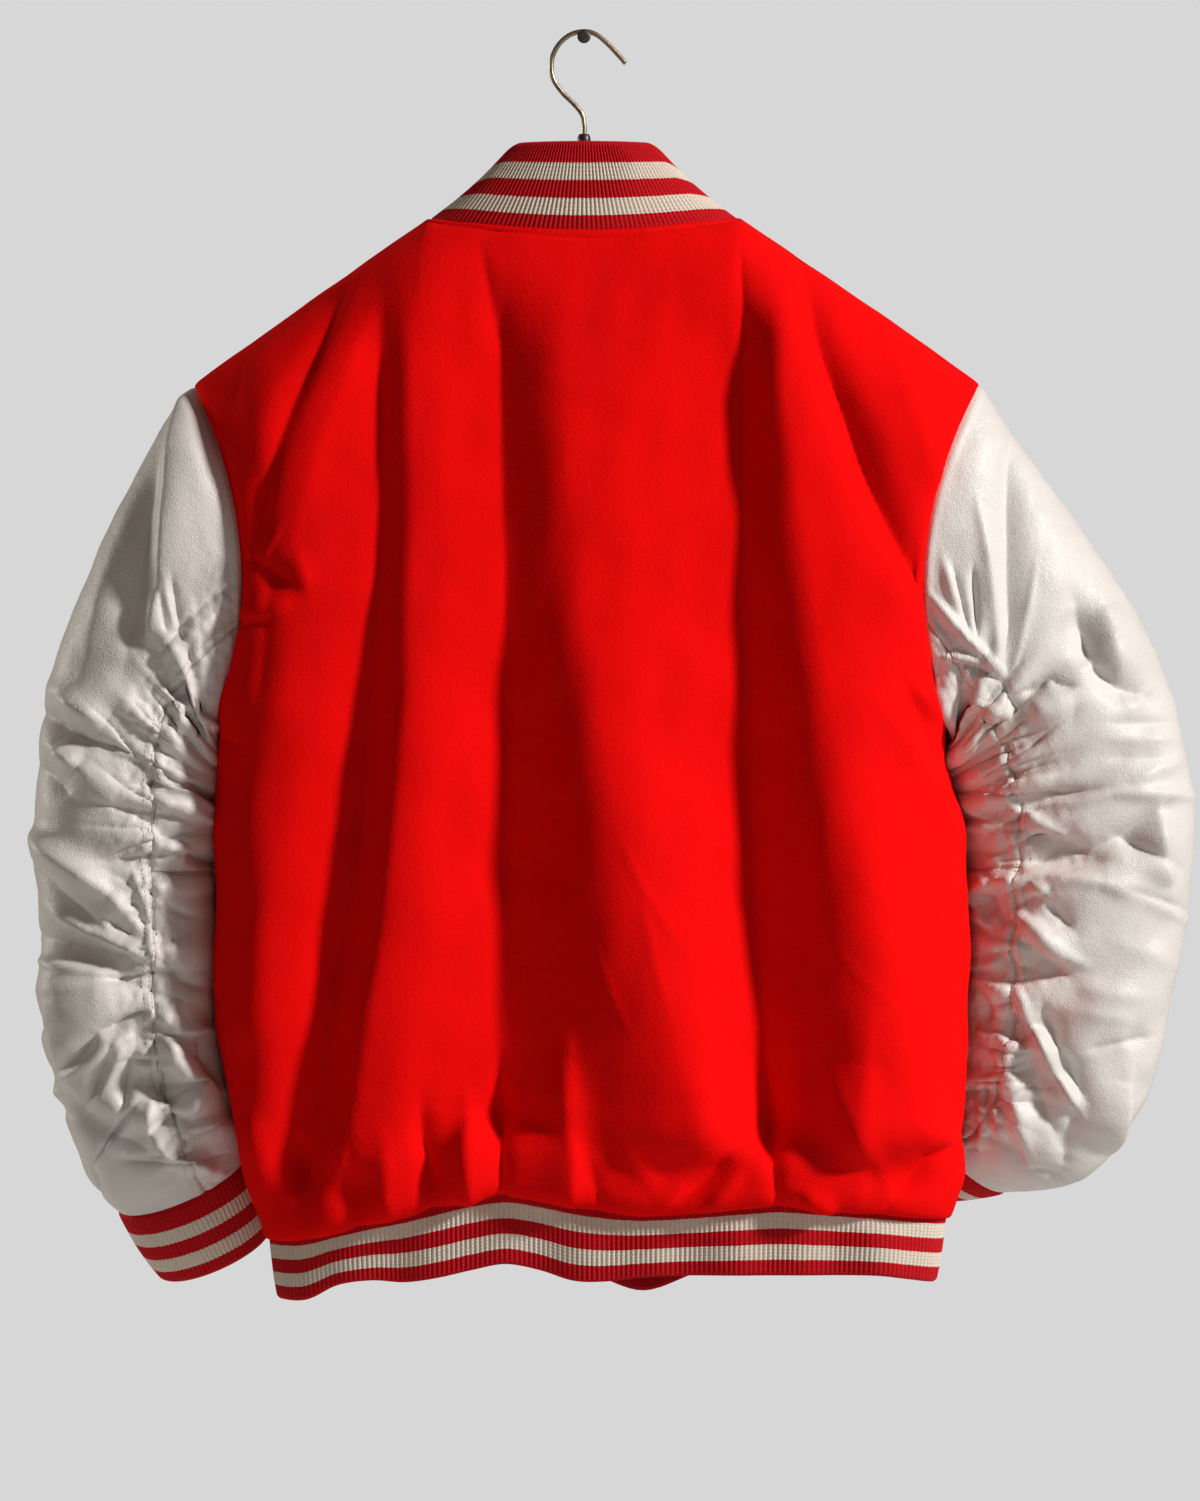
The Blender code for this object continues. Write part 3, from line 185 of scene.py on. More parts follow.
class Finish:
    # a material whose nodes are written as Python
    def __init__(self, name, **constants):
        self.material = bpy.data.materials.new(name)
        self.material.use_nodes = True
        self.tree = self.material.node_tree
        self.shader = self.tree.nodes["Principled BSDF"]
        for socket, value in constants.items():
            self.shader.inputs[socket.replace("_", " ")].default_value = value

    def node(self, kind, settings=None, output=0, **sockets):
        made = self.tree.nodes.new(kind)
        for key, value in (settings or {}).items():
            setattr(made, key, value)
        for name, value in sockets.items():
            place = int(name[1:]) if name[0] == "n" and name[1:].isdigit() else name.replace("_", " ")
            self.feed(made.inputs[place], value)
        return Wire(self.tree, made.outputs[output])

    def feed(self, socket, value):
        if isinstance(value, Wire):
            self.tree.links.new(value.socket, socket)
        else:
            socket.default_value = value

    def coordinates(self, output="Object"):
        return self.node("ShaderNodeTexCoord", output=output)

    def mix(self, a, b, factor, blend="MIX"):
        return self.node("ShaderNodeMix", {"data_type": "RGBA", "blend_type": blend}, 2, n0=factor, n6=a, n7=b)

    def noise(self, scale, detail=2.0, rough=0.5, vector=None):
        return self.node("ShaderNodeTexNoise", Vector=vector or self.coordinates(), Scale=scale, Detail=detail,
                         Roughness=rough)

    def bump(self, height, distance, strength=1.0, normal=None):
        sockets = {"Height": height, "Distance": distance, "Strength": strength}
        if normal:
            sockets["Normal"] = normal
        return self.node("ShaderNodeBump", **sockets)

    def put(self, **sockets):
        for name, value in sockets.items():
            self.feed(self.shader.inputs[name.replace("_", " ")], value)
        return self.material


def solid(r, g, b):
    return (r, g, b, 1.0)


# meshes

def meshObject(name, points, faces, materials, uvs=None, marks=None, smooth=True):
    mesh = bpy.data.meshes.new(name)
    mesh.from_pydata(points, [], faces)
    if uvs is not None:
        layer = mesh.uv_layers.new(name="UVMap")
        corners = np.empty(len(mesh.loops), np.int32)
        mesh.loops.foreach_get("vertex_index", corners)
        layer.data.foreach_set("uv", np.asarray(uvs, np.float32)[corners].ravel())
    for key, values in (marks or {}).items():
        made = mesh.attributes.new(key, "FLOAT", "POINT")
        made.data.foreach_set("value", np.asarray(values, np.float32))
    for finish in materials:
        mesh.materials.append(finish)
    if smooth:
        mesh.shade_smooth()
    piece = bpy.data.objects.new(name, mesh)
    bpy.context.scene.collection.objects.link(piece)
    return piece


def keepSome(count, every):
    return sorted(set(range(0, count, every)) | {count - 1})


def rimFaces(fine, coarse, keep):
    # faces between a fine edge and a coarse one
    faces = []
    for k in range(len(keep) - 1):
        face = [fine[i] for i in range(keep[k + 1], keep[k] - 1, -1)]
        faces.append(face + [coarse[k], coarse[k + 1]])
    return faces


def wallPiece(name, outside, inside, uvGrid, materials, closed=False, marks=None, every=2):
    # a cloth wall: a fine outer skin and a coarser inner one, joined all round its rim
    rows, columns = outside.shape[:2]
    numbers = np.arange(rows * columns).reshape(rows, columns)
    keepRows = keepSome(rows, every)
    keepColumns = list(range(0, columns, every)) if closed else keepSome(columns, every)
    chosen = np.ix_(keepRows, keepColumns)
    across, along = outside[:-1, 1:] - outside[:-1, :-1], outside[1:, :-1] - outside[:-1, :-1]
    flip = np.sum(np.cross(across, along) * (outside - inside)[:-1, :-1]) < 0.0
    inside = inside[chosen]
    points = np.concatenate([outside.reshape(-1, 3), inside.reshape(-1, 3)])
    coarse = rows * columns + np.arange(inside.shape[0] * inside.shape[1]).reshape(inside.shape[:2])
    if closed:
        numbers = np.concatenate([numbers, numbers[:, :1]], axis=1)
        coarse = np.concatenate([coarse, coarse[:, :1]], axis=1)
        keepColumns = keepColumns + [columns]
    outer = np.stack([numbers[:-1, :-1], numbers[:-1, 1:], numbers[1:, 1:], numbers[1:, :-1]], axis=-1)
    inner = np.stack([coarse[:-1, :-1], coarse[1:, :-1], coarse[1:, 1:], coarse[:-1, 1:]], axis=-1)
    outer, inner = outer.reshape(-1, 4), inner.reshape(-1, 4)
    faces = outer.tolist() + inner.tolist()
    backRows = [rows - 1 - k for k in reversed(keepRows)]
    backColumns = [numbers.shape[1] - 1 - k for k in reversed(keepColumns)]
    rims = rimFaces(numbers[0].tolist(), coarse[0].tolist(), keepColumns)
    rims += rimFaces(numbers[-1][::-1].tolist(), coarse[-1][::-1].tolist(), backColumns)
    if not closed:
        rims += rimFaces(numbers[:, -1].tolist(), coarse[:, -1].tolist(), keepRows)
        rims += rimFaces(numbers[::-1, 0].tolist(), coarse[::-1, 0].tolist(), backRows)
    faces += rims
    if flip:
        faces = [face[::-1] for face in faces]
    uvs = np.concatenate([uvGrid.reshape(-1, 2), uvGrid[chosen].reshape(-1, 2)])
    plain = np.zeros(len(points) - rows * columns)
    doubled = {key: np.concatenate([v.ravel(), plain]) for key, v in (marks or {}).items()}
    piece = meshObject(name, points.tolist(), faces, materials, uvs, doubled)
    if len(materials) > 1:  # the inner skin takes the second finish
        kinds = np.zeros(len(faces), np.int32)
        kinds[len(outer):len(outer) + len(inner)] = 1
        piece.data.polygons.foreach_set("material_index", kinds)
    return piece


def relax(grid, share, times):
    # even out a grid along its columns where share is above zero
    for _ in range(times):
        smooth = grid.copy()
        smooth[1:-1] = (grid[:-2] + 2.0 * grid[1:-1] + grid[2:]) / 4.0
        grid = lerp(grid, smooth, share[..., None])
    return grid


def arcUvs(grid):
    # cloth coordinates in metres, from the middle column
    near = edgeDistances(grid)
    middle = grid.shape[1] // 2
    return np.stack([near["left"] - near["left"][:, middle:middle + 1], near["low"]], axis=-1)


def seamProfile(near, borders, half, radius=0.0026, keep=0.3):
    # the wall thins to a rounded edge along its borders
    closest = np.minimum.reduce([near[b] for b in borders])
    t = np.clip(closest / radius, 0.0, 1.0)
    return half * (keep + (1.0 - keep) * np.sqrt(1.0 - (1.0 - t) ** 2)), closest


def groove(distance, at, width, depth):
    return -depth * np.exp(-((distance - at) / width) ** 2)


def turnedPiece(name, profile, origin, axis, finish, sides=32):
    # a lathe shape from rows of radius and distance along an axis
    axis = Vector(axis)
    across = axis.orthogonal().normalized()
    up = axis.cross(across)
    points = []
    for radius, along in profile:
        for k in range(sides):
            turn = 2.0 * math.pi * k / sides
            points.append(Vector(origin) + axis * along + (across * math.cos(turn) + up * math.sin(turn)) * radius)
    faces = []
    for row in range(len(profile) - 1):
        for k in range(sides):
            a, b, after = row * sides, (row + 1) * sides, (k + 1) % sides
            faces.append([a + k, a + after, b + after, b + k])
    faces.append(list(reversed(range(sides))))
    faces.append([(len(profile) - 1) * sides + k for k in range(sides)])
    piece = meshObject(name, points, faces, [finish])
    piece.data.set_sharp_from_angle(angle=math.radians(40.0))
    return piece


# geometry nodes

class NodeMaker:
    # a Geometry Nodes tree whose nodes are written as Python
    def __init__(self, name, inputs):
        self.tree = bpy.data.node_groups.new(name, "GeometryNodeTree")
        self.tree.interface.new_socket("Geometry", in_out="INPUT", socket_type="NodeSocketGeometry")
        self.sockets = {}
        for key, kind in inputs.items():
            made = self.tree.interface.new_socket(key, in_out="INPUT", socket_type=kind)
            self.sockets[key] = made.identifier
        self.tree.interface.new_socket("Geometry", in_out="OUTPUT", socket_type="NodeSocketGeometry")
        self.start = self.tree.nodes.new("NodeGroupInput")
        self.end = self.tree.nodes.new("NodeGroupOutput")

    def add(self, kind, settings=None, **sockets):
        made = self.tree.nodes.new(kind)
        for key, value in (settings or {}).items():
            setattr(made, key, value)
        for key, value in sockets.items():
            place = int(key[1:]) if key[0] == "n" and key[1:].isdigit() else key.replace("_", " ")
            if isinstance(value, bpy.types.NodeSocket):
                self.tree.links.new(value, made.inputs[place])
            else:
                made.inputs[place].default_value = value
        return made

    def given(self, key):
        return self.start.outputs[key]

    def close(self, geometry):
        real = self.add("GeometryNodeRealizeInstances", Geometry=geometry)
        painted = self.add("GeometryNodeSetMaterial", Geometry=real.outputs[0], Material=self.given("Material"))
        self.tree.links.new(painted.outputs[0], self.end.inputs[0])


def runNodes(maker, base, name, values):
    # apply a tree to a base object, and keep the result as a plain mesh
    modifier = base.modifiers.new(maker.tree.name, "NODES")
    modifier.node_group = maker.tree
    for key, value in values.items():
        modifier[maker.sockets[key]] = value
    bpy.context.view_layer.update()
    graph = bpy.context.evaluated_depsgraph_get()
    made = base.evaluated_get(graph)
    mesh = bpy.data.meshes.new_from_object(made, preserve_all_data_layers=True, depsgraph=graph)
    mesh.name = name
    piece = bpy.data.objects.new(name, mesh)
    bpy.context.scene.collection.objects.link(piece)
    bpy.data.objects.remove(base)
    return piece


def stitchMaker():
    # short threads laid end to end along polylines
    maker = NodeMaker("stitches", {"Pitch": "NodeSocketFloat", "Length": "NodeSocketFloat",
                                   "Thread": "NodeSocketFloat", "Material": "NodeSocketMaterial"})
    curve = maker.add("GeometryNodeMeshToCurve", Mesh=maker.given("Geometry"))
    spots = maker.add("GeometryNodeCurveToPoints", {"mode": "LENGTH"}, Curve=curve.outputs[0],
                      Length=maker.given("Pitch"))
    ball = maker.add("GeometryNodeMeshIcoSphere", Radius=0.5, Subdivisions=1)
    size = maker.add("ShaderNodeCombineXYZ", X=maker.given("Thread"), Y=maker.given("Thread"),
                     Z=maker.given("Length"))
    laid = maker.add("GeometryNodeInstanceOnPoints", Points=spots.outputs["Points"], Instance=ball.outputs["Mesh"],
                     Rotation=spots.outputs["Rotation"], Scale=size.outputs[0])
    maker.close(laid.outputs[0])
    return maker


def ribMaker():
    # raised ribs on a band, from its own phase and strength attributes
    maker = NodeMaker("ribs", {"Relief": "NodeSocketFloat", "Roundness": "NodeSocketFloat",
                               "Material": "NodeSocketMaterial"})
    phase = maker.add("GeometryNodeInputNamedAttribute", {"data_type": "FLOAT"}, Name="ribPhase")
    strength = maker.add("GeometryNodeInputNamedAttribute", {"data_type": "FLOAT"}, Name="ribStrength")
    turn = maker.add("ShaderNodeMath", {"operation": "MULTIPLY"}, n0=phase.outputs[0], n1=math.pi)
    wave = maker.add("ShaderNodeMath", {"operation": "SINE"}, n0=turn.outputs[0])
    flat = maker.add("ShaderNodeMath", {"operation": "ABSOLUTE"}, n0=wave.outputs[0])
    rounded = maker.add("ShaderNodeMath", {"operation": "POWER"}, n0=flat.outputs[0], n1=maker.given("Roundness"))
    scaled = maker.add("ShaderNodeMath", {"operation": "MULTIPLY"}, n0=rounded.outputs[0], n1=strength.outputs[0])
    lift = maker.add("ShaderNodeMath", {"operation": "MULTIPLY"}, n0=scaled.outputs[0], n1=maker.given("Relief"))
    way = maker.add("GeometryNodeInputNormal")
    move = maker.add("ShaderNodeVectorMath", {"operation": "SCALE"}, Vector=way.outputs[0], Scale=lift.outputs[0])
    placed = maker.add("GeometryNodeSetPosition", Geometry=maker.given("Geometry"), Offset=move.outputs[0])
    maker.close(placed.outputs[0])
    return maker


def wireMaker():
    # round wire along a polyline
    maker = NodeMaker("wire", {"Radius": "NodeSocketFloat", "Sides": "NodeSocketInt",
                               "Material": "NodeSocketMaterial"})
    curve = maker.add("GeometryNodeMeshToCurve", Mesh=maker.given("Geometry"))
    ring = maker.add("GeometryNodeCurvePrimitiveCircle", Resolution=maker.given("Sides"),
                     Radius=maker.given("Radius"))
    tube = maker.add("GeometryNodeCurveToMesh", Curve=curve.outputs[0], Profile_Curve=ring.outputs["Curve"],
                     Fill_Caps=True)
    smooth = maker.add("GeometryNodeSetShadeSmooth", Geometry=tube.outputs[0])
    maker.close(smooth.outputs[0])
    return maker


def snapMaker():
    # one cap set on each point, turned to the cloth
    maker = NodeMaker("snaps", {"Cap": "NodeSocketObject", "Material": "NodeSocketMaterial"})
    way = maker.add("GeometryNodeInputNamedAttribute", {"data_type": "FLOAT_VECTOR"}, Name="way")
    turn = maker.add("FunctionNodeAlignRotationToVector", {"axis": "Z"}, Vector=way.outputs[0])
    cap = maker.add("GeometryNodeObjectInfo", Object=maker.given("Cap"))
    laid = maker.add("GeometryNodeInstanceOnPoints", Points=maker.given("Geometry"),
                     Instance=cap.outputs["Geometry"], Rotation=turn.outputs[0])
    maker.close(laid.outputs[0])
    return maker


def lineBase(lines):
    # polylines as one mesh of edges
    points, edges = [], []
    for line in lines:
        first = len(points)
        points += [tuple(p) for p in line]
        edges += [(first + k, first + k + 1) for k in range(len(line) - 1)]
    mesh = bpy.data.meshes.new("lines")
    mesh.from_pydata(points, edges, [])
    base = bpy.data.objects.new("lines", mesh)
    bpy.context.scene.collection.objects.link(base)
    return base


# finishes

def woolFinish():
    # felted melton: soft red, clouded a little, with a short nap
    finish = Finish("wool", Roughness=0.92, Sheen_Weight=0.02, Sheen_Roughness=0.45,
                    Sheen_Tint=solid(1.0, 0.08, 0.04), Specular_IOR_Level=0.02)
    clouds = finish.noise(9.0, 3.0)
    fibres = finish.noise(900.0, 3.0, 0.7)
    nap = finish.noise(260.0, 4.0, 0.65)
    weave = finish.node("ShaderNodeMapping", {"vector_type": "POINT"}, Vector=finish.coordinates(),
                        Rotation=(0.0, math.radians(28.0), 0.0), Scale=(1.0, 1.0, 3.2))
    twill = finish.noise(420.0, 1.0, 0.4, weave)
    deep = finish.mix(solid(0.90, 0.0035, 0.003), solid(0.80, 0.0030, 0.004), clouds)
    worn = finish.mix(deep, solid(0.97, 0.005, 0.003), (fibres - 0.45) * 1.1)
    height = fibres * 0.4 + nap * 0.8 + twill * 0.5
    return finish.put(Base_Color=worn, Roughness=0.84 + nap * 0.12, Normal=finish.bump(height, 0.0009, 0.55))


def leatherFinish():
    # off-white pebbled leather with fine creases, soiled a little in patches and a little darker along the pebble
    # edges
    finish = Finish("leather", Specular_IOR_Level=0.42, Coat_Roughness=0.35)
    pebbles = finish.node("ShaderNodeTexVoronoi", {"feature": "DISTANCE_TO_EDGE"}, Vector=finish.coordinates(),
                          Scale=520.0, Randomness=1.0)
    cells = finish.node("ShaderNodeTexVoronoi", {"feature": "F1"}, Vector=finish.coordinates(), Scale=240.0)
    creases = finish.noise(55.0, 4.0, 0.6)
    soil = finish.noise(12.0, 3.0)
    pores = finish.noise(1500.0, 1.0)
    clean = finish.mix(solid(0.745, 0.72, 0.69), solid(0.665, 0.63, 0.585), (soil - 0.3) * 1.1)
    # a little darker colour along the pebble edges
    toned = finish.mix(clean, solid(0.52, 0.48, 0.43), (0.06 - pebbles) * 3.0)
    folded = finish.noise(70.0, 3.0, 0.55) - 0.5
    wrinkles = finish.node("ShaderNodeMath", {"operation": "ABSOLUTE"}, n0=folded)
    height = pebbles * 1.6 + cells * 0.4 + creases * 0.9 + wrinkles * 1.6 + pores * 0.1
    rough = 0.34 + creases * 0.22 + pores * 0.05
    return finish.put(Base_Color=toned, Roughness=rough, Coat_Weight=0.08 + soil * 0.06,
                      Normal=finish.bump(height, 0.0006, 0.5))


def ribFinish(name, edges, red=(0.47, 0.0025, 0.008)):
    # rib knit: crimson with cream stripes between the shares given by edges
    finish = Finish(name, Roughness=0.9, Sheen_Weight=0.05, Sheen_Roughness=0.5, Specular_IOR_Level=0.15)
    where = finish.coordinates("UV")
    apart = finish.node("ShaderNodeSeparateXYZ", Vector=where)
    across = Wire(finish.tree, apart.socket.node.outputs[1])
    along = Wire(finish.tree, apart.socket.node.outputs[0])
    waver = finish.noise(160.0, 1.0) * 0.012 - 0.006
    place = across + waver
    stripes = None
    for low, high in edges:
        inside = (place > low) * (place < high)
        stripes = inside if stripes is None else stripes + inside
    fuzz = finish.noise(700.0, 3.0, 0.7)
    crimson = finish.mix(solid(*red), solid(red[0] * 1.25, 0.006, 0.012), fuzz)
    cream = finish.mix(solid(0.80, 0.72, 0.62), solid(0.64, 0.54, 0.44), fuzz)
    ribs = finish.node("ShaderNodeMath", {"operation": "PINGPONG"}, n0=along, n1=ribKnit["pitch"] / 2.0)
    loops = finish.node("ShaderNodeMath", {"operation": "SINE"}, n0=(across * 60.0 + ribs * 900.0) * 2.4)
    return finish.put(Base_Color=finish.mix(crimson, cream, stripes), Roughness=0.86 + fuzz * 0.1,
                      Normal=finish.bump(loops * 0.35 + fuzz, 0.0005, 0.6))


def liningFinish():
    finish = Finish("lining", Roughness=0.45, Specular_IOR_Level=0.5)
    slub = finish.noise(300.0, 2.0)
    return finish.put(Base_Color=finish.mix(solid(0.10, 0.004, 0.006), solid(0.07, 0.003, 0.005), slub),
                      Normal=finish.bump(slub, 0.0003, 0.3))


def threadFinish(name, color):
    finish = Finish(name, Roughness=0.7)
    twist = finish.noise(3000.0, 1.0)
    return finish.put(Base_Color=finish.mix(solid(*color), solid(*[c * 0.8 for c in color]), twist))


def metalFinish(name, bright, dull, scale, rough=0.3):
    finish = Finish(name, Metallic=1.0)
    tarnish = finish.noise(scale, 4.0, 0.65)
    spots = (tarnish - 0.42) * 3.0
    return finish.put(Base_Color=finish.mix(solid(*bright), solid(*dull), spots), Roughness=rough + tarnish * 0.3,
                      Normal=finish.bump(tarnish, 0.0002, 0.4))


def woodFinish():
    finish = Finish("dark wood", Coat_Roughness=0.25, Specular_IOR_Level=0.4)
    drawn = finish.node("ShaderNodeMapping", Vector=finish.coordinates(), Scale=(0.6, 14.0, 9.0))
    grain = finish.noise(22.0, 6.0, 0.6, drawn)
    pores = finish.noise(90.0, 2.0, 0.5, drawn)
    return finish.put(Base_Color=finish.mix(solid(0.050, 0.028, 0.018), solid(0.014, 0.008, 0.006), grain),
                      Roughness=0.3 + pores * 0.25, Coat_Weight=0.25 + grain * 0.1,
                      Normal=finish.bump(pores, 0.0003, 0.4))


# the jacket's sizes, in metres

body = {
    "neckHalf": 0.111, "neckBackDepth": 0.046, "neckFrontDepth": 0.058, "neckZ": -0.133,
    "neckBackDrop": 0.0105, "neckFrontDrop": 0.067, "neckLean": 0.75,
    "shoulder": {-1: (-0.280, -0.252), 1: (0.284, -0.251)},
    "armpit": {-1: (-0.264, -0.503), 1: (0.262, -0.500)},
    "armholeDepth": 0.056, "armholeBow": {-1: 0.028, 1: -0.030}, "armholeLean": 0.5,
    "roof": 0.075, "sectionPower": 3.3, "sectionRound": 0.37,
    "lapHalf": 0.015, "lapStep": 0.0019, "lapStepHem": 0.0040, "lapFade": 0.035,
    "hemX": {-1: -0.227, 1: 0.261}, "hemBackDepth": 0.060, "hemFrontDepth": 0.054,
    "sag": 0.0215, "sagX": 0.041, "sagWidth": 0.038, "curlReach": 0.050,
    "foldStart": -0.150, "foldFade": 0.110, "foldHeights": (-0.260, -0.500, -0.830),
    "lowerStart": -0.34, "lowerFade": 0.24,  # where the folds go from their high relief to their low one
    "half": 0.0012, "backStep": 0.0032, "frontStep": 0.0046,
    "sideRows": 16, "sideCrowd": 1.3, "armRows": 32, "shoulderColumns": 6, "neckColumns": (8, 5),
    "shoulderCrowd": 1.15, "underarmRelax": 70,
}
seamTurn = 0.006  # the width over which a wall turns to meet its seam
rimPinches = (0.0008, 0.0020)  # extra rows and columns beside a rim
sidePinches = (0.0008, 0.0020, 0.0035)
neckPinches = (0.0008, 0.0020, 0.0035, 0.0055, 0.0066, 0.0075, 0.0084, 0.0095)
sideTable = (  # z, left, right
    (-0.503, -0.264, 0.262), (-0.516, -0.261, 0.261), (-0.540, -0.264, 0.267), (-0.567, -0.265, 0.272),
    (-0.621, -0.264, 0.275), (-0.675, -0.266, 0.276), (-0.711, -0.265, 0.275), (-0.747, -0.257, 0.273),
    (-0.783, -0.250, 0.272), (-0.819, -0.240, 0.271),
)
depthTable = (  # z, back, front
    (-0.830, 0.075, 0.066), (-0.780, 0.079, 0.069), (-0.700, 0.083, 0.071), (-0.550, 0.084, 0.072),
    (-0.400, 0.082, 0.070), (-0.250, 0.075, 0.064), (-0.130, 0.070, 0.060),
)
hemBackLines = (  # the band's seam and free edge in millimetres, at even steps from side to side
    (-858.0, -907.0), (-857.5, -906.5), (-852.5, -895.5), (-846.0, -891.8), (-839.5, -893.0), (-833.0, -889.5),
    (-827.0, -884.0), (-824.0, -879.5), (-827.0, -884.0), (-831.5, -891.3), (-835.5, -891.8), (-838.0, -889.0),
    (-837.0, -888.0), (-835.0, -887.7), (-832.8, -887.7), (-831.0, -887.8), (-833.0, -888.0), (-835.5, -888.2),
    (-838.0, -888.8), (-840.5, -892.0), (-842.5, -895.0),
)
hemFrontLines = (
    (-858.0, -907.0), (-847.0, -900.0), (-837.0, -892.5), (-829.0, -886.0), (-826.0, -883.0), (-827.0, -884.0),
    (-828.5, -885.5), (-831.0, -887.5), (-834.0, -890.0), (-838.0, -893.0), (-842.5, -895.0),
)
curlTable = (  # rise, swell, swell at the lap
    (-0.006, 0.0033, 0.0033), (-0.004, 0.0120, 0.0045), (0.006, 0.0185, 0.0054), (0.026, 0.0195, 0.0100),
)
backFolds = (  # kind, x at three heights, relief high and low
    ("edge", -0.290, -0.290, -0.278, 0.000, 0.000), ("crest", -0.254, -0.260, -0.250, 0.021, 0.034),
    ("valley", -0.144, -0.153, -0.204, -0.006, -0.016), ("crest", -0.122, -0.127, -0.174, 0.006, 0.012),
    ("valley", -0.058, -0.055, -0.062, -0.009, -0.020), ("crest", -0.014, 0.012, 0.094, 0.010, 0.020),
    ("valley", 0.112, 0.115, 0.135, -0.014, -0.024), ("crest", 0.142, 0.180, 0.250, 0.010, 0.028),
    ("edge", 0.280, 0.280, 0.270, 0.000, 0.000),
)
frontFolds = (
    ("edge", -0.270, -0.270, -0.240, 0.000, 0.000), ("crest", -0.190, -0.196, -0.196, 0.006, 0.006),
    ("valley", -0.140, -0.132, -0.120, -0.006, -0.006), ("crest", -0.085, -0.075, -0.070, 0.005, 0.005),
    ("edge", -0.035, -0.035, -0.035, 0.000, 0.000), ("edge", 0.035, 0.035, 0.035, 0.000, 0.000),
    ("crest", 0.080, 0.085, 0.095, 0.006, 0.006), ("valley", 0.128, 0.136, 0.140, -0.006, -0.006),
    ("crest", 0.180, 0.195, 0.200, 0.005, 0.005), ("edge", 0.280, 0.280, 0.270, 0.000, 0.000),
)
backCreases = (  # the back's own folds and the puckers above its hem
    (-167, -181, -242, -385, 6, 10, 0.3, -6), (-150, -200, -206, -360, 4, 13, 0, 2.5),
    (-240, -228, -258, -300, 0, 8, 0, -2.5), (-244, -376, -206, -396, 0, 8, 0.3, -7),
    (-214, -352, -236, -390, 0, 2.5, 0, 1.5), (-245, -416, -206, -411, 0, 7, 0, 4),
    (-204, -372, -196, -402, 0, 7, 0, 3), (-246, -424, -222, -422, 0, 4, 0, -2.5),
    (-238, -436, -262, -510, 0, 9, 0, -2.5), (-254, -400, -259, -500, 0, 15, 0.2, 8),
    (-258, -505, -244, -512, 0, 5, 0, -3),
    (160, -180, 243, -400, 9, 16, 0.2, -15), (212, -208, 256, -332, 0, 12, 0, 3.5),
    (228, -470, 270, -552, -3, 10, 0, -6), (210, -484, 272, -582, -4, 9, 0.2, 4.5),
    (236, -468, 258, -494, 0, 5, 0, 3.5), (-72, -160, -58, -230, 0, 9, 0.3, -3.5),
    (112, -160, 114, -230, 0, 10, -0.3, -3.5),
    (-246, -285, -222, -385, 0, 20, 0, -6), (-222, -385, -232, -482, 0, 20, 0, -6),
    (-84, -768, -82, -838, 0, 11, -0.1, 10), (-114, -770, -108, -846, 0, 10, 0, -11),
    (-60, -738, -58, -836, 0, 8, 0.1, -9), (-10, -730, -8, -838, 0, 16, 0.5, 9),
    (-166, -804, -160, -862, 0, 9, 0, -7), (-142, -796, -139, -850, 0, 10, 0, 5),
    (-238, -770, -222, -848, 0, 10, 0, 7), (-204, -780, -198, -856, 0, 9, 0, -6.5),
    (106, -800, 64, -836, 0, 6, -0.3, -8), (112, -812, 88, -838, 0, 6, 0, 3.5),
    (24, -790, 52, -826, 0, 10, 0, 3), (128, -735, 138, -838, 0, 7, 0.1, -8),
    (152, -826, 180, -842, 0, 6, 0, 6), (200, -735, 196, -812, 0, 22, 0.5, 9),
    (177, -741, 214, -818, 0, 10, 0, 4),
    (264, -794, 220, -834, 0, 9, 0.2, -12), (238, -780, 268, -798, 0, 8, 0, 4),
    (4, -806, 12, -842, 0, 7, 0, -4),
    (26, -578, 76, -662, 3, 3, 0, 1.2), (40, -610, 62, -706, 2, 3, 0, 1),
    (4, -640, 34, -716, 2, 3, 0, 1), (190, -600, 236, -640, 2, 3, 0, 0.7),
    (176, -650, 226, -700, 3, 3, 0, 0.7), (-30, -250, 30, -262, 4, 5, 0, 0.6),
)
frontCreases = (
    (-205, -190, -240, -380, 6, 10, 0, -4), (205, -190, 240, -380, -6, 10, 0, -4),
    (-236, -470, -262, -545, 0, 9, 0, -4), (236, -470, 262, -545, 0, 9, 0, -4),
    (-60, -780, -66, -846, 0, 6, 0, -5), (-110, -770, -104, -846, 0, 8, 0, -4),
    (-170, -790, -176, -850, 0, 7, 0, -4), (70, -790, 66, -846, 0, 6, 0, -5),
    (120, -780, 116, -846, 0, 8, 0, -4), (190, -790, 196, -846, 0, 7, 0, -4),
)


def ringPoint(side, angle):
    # the armhole: 0 at the shoulder and 180 at the armpit
    top, low = body["shoulder"][side], body["armpit"][side]
    cosine, sine = np.cos(np.radians(angle)), np.sin(np.radians(angle))
    share = (1.0 + cosine) / 2.0
    x = lerp(low[0], top[0], share) + body["armholeBow"][side] * sine * sine
    return np.stack([x, -body["armholeDepth"] * sine, lerp(low[1], top[1], share)], axis=-1)


def ringWay(side, angle):
    turn = np.radians(angle)
    lean = side * body["armholeLean"] * np.maximum(np.cos(turn), 0.0)
    return unit(np.stack([lean + turn * 0.0, -np.sin(turn), np.cos(turn)], axis=-1))


def neckSeam(angle):
    turn = np.radians(angle)
    cosine = np.cos(turn)
    depth = np.where(cosine > 0.0, body["neckBackDepth"], body["neckFrontDepth"])
    drop = np.where(cosine > 0.0, body["neckBackDrop"], body["neckFrontDrop"])
    x = body["neckHalf"] * np.sin(turn)
    return np.stack([x, -depth * cosine, body["neckZ"] - drop * cosine ** 2], axis=-1)


def neckWay(angle):
    turn = np.radians(angle)
    return unit(np.stack([np.sin(turn), -np.cos(turn), turn * 0.0 + body["neckLean"]], axis=-1))


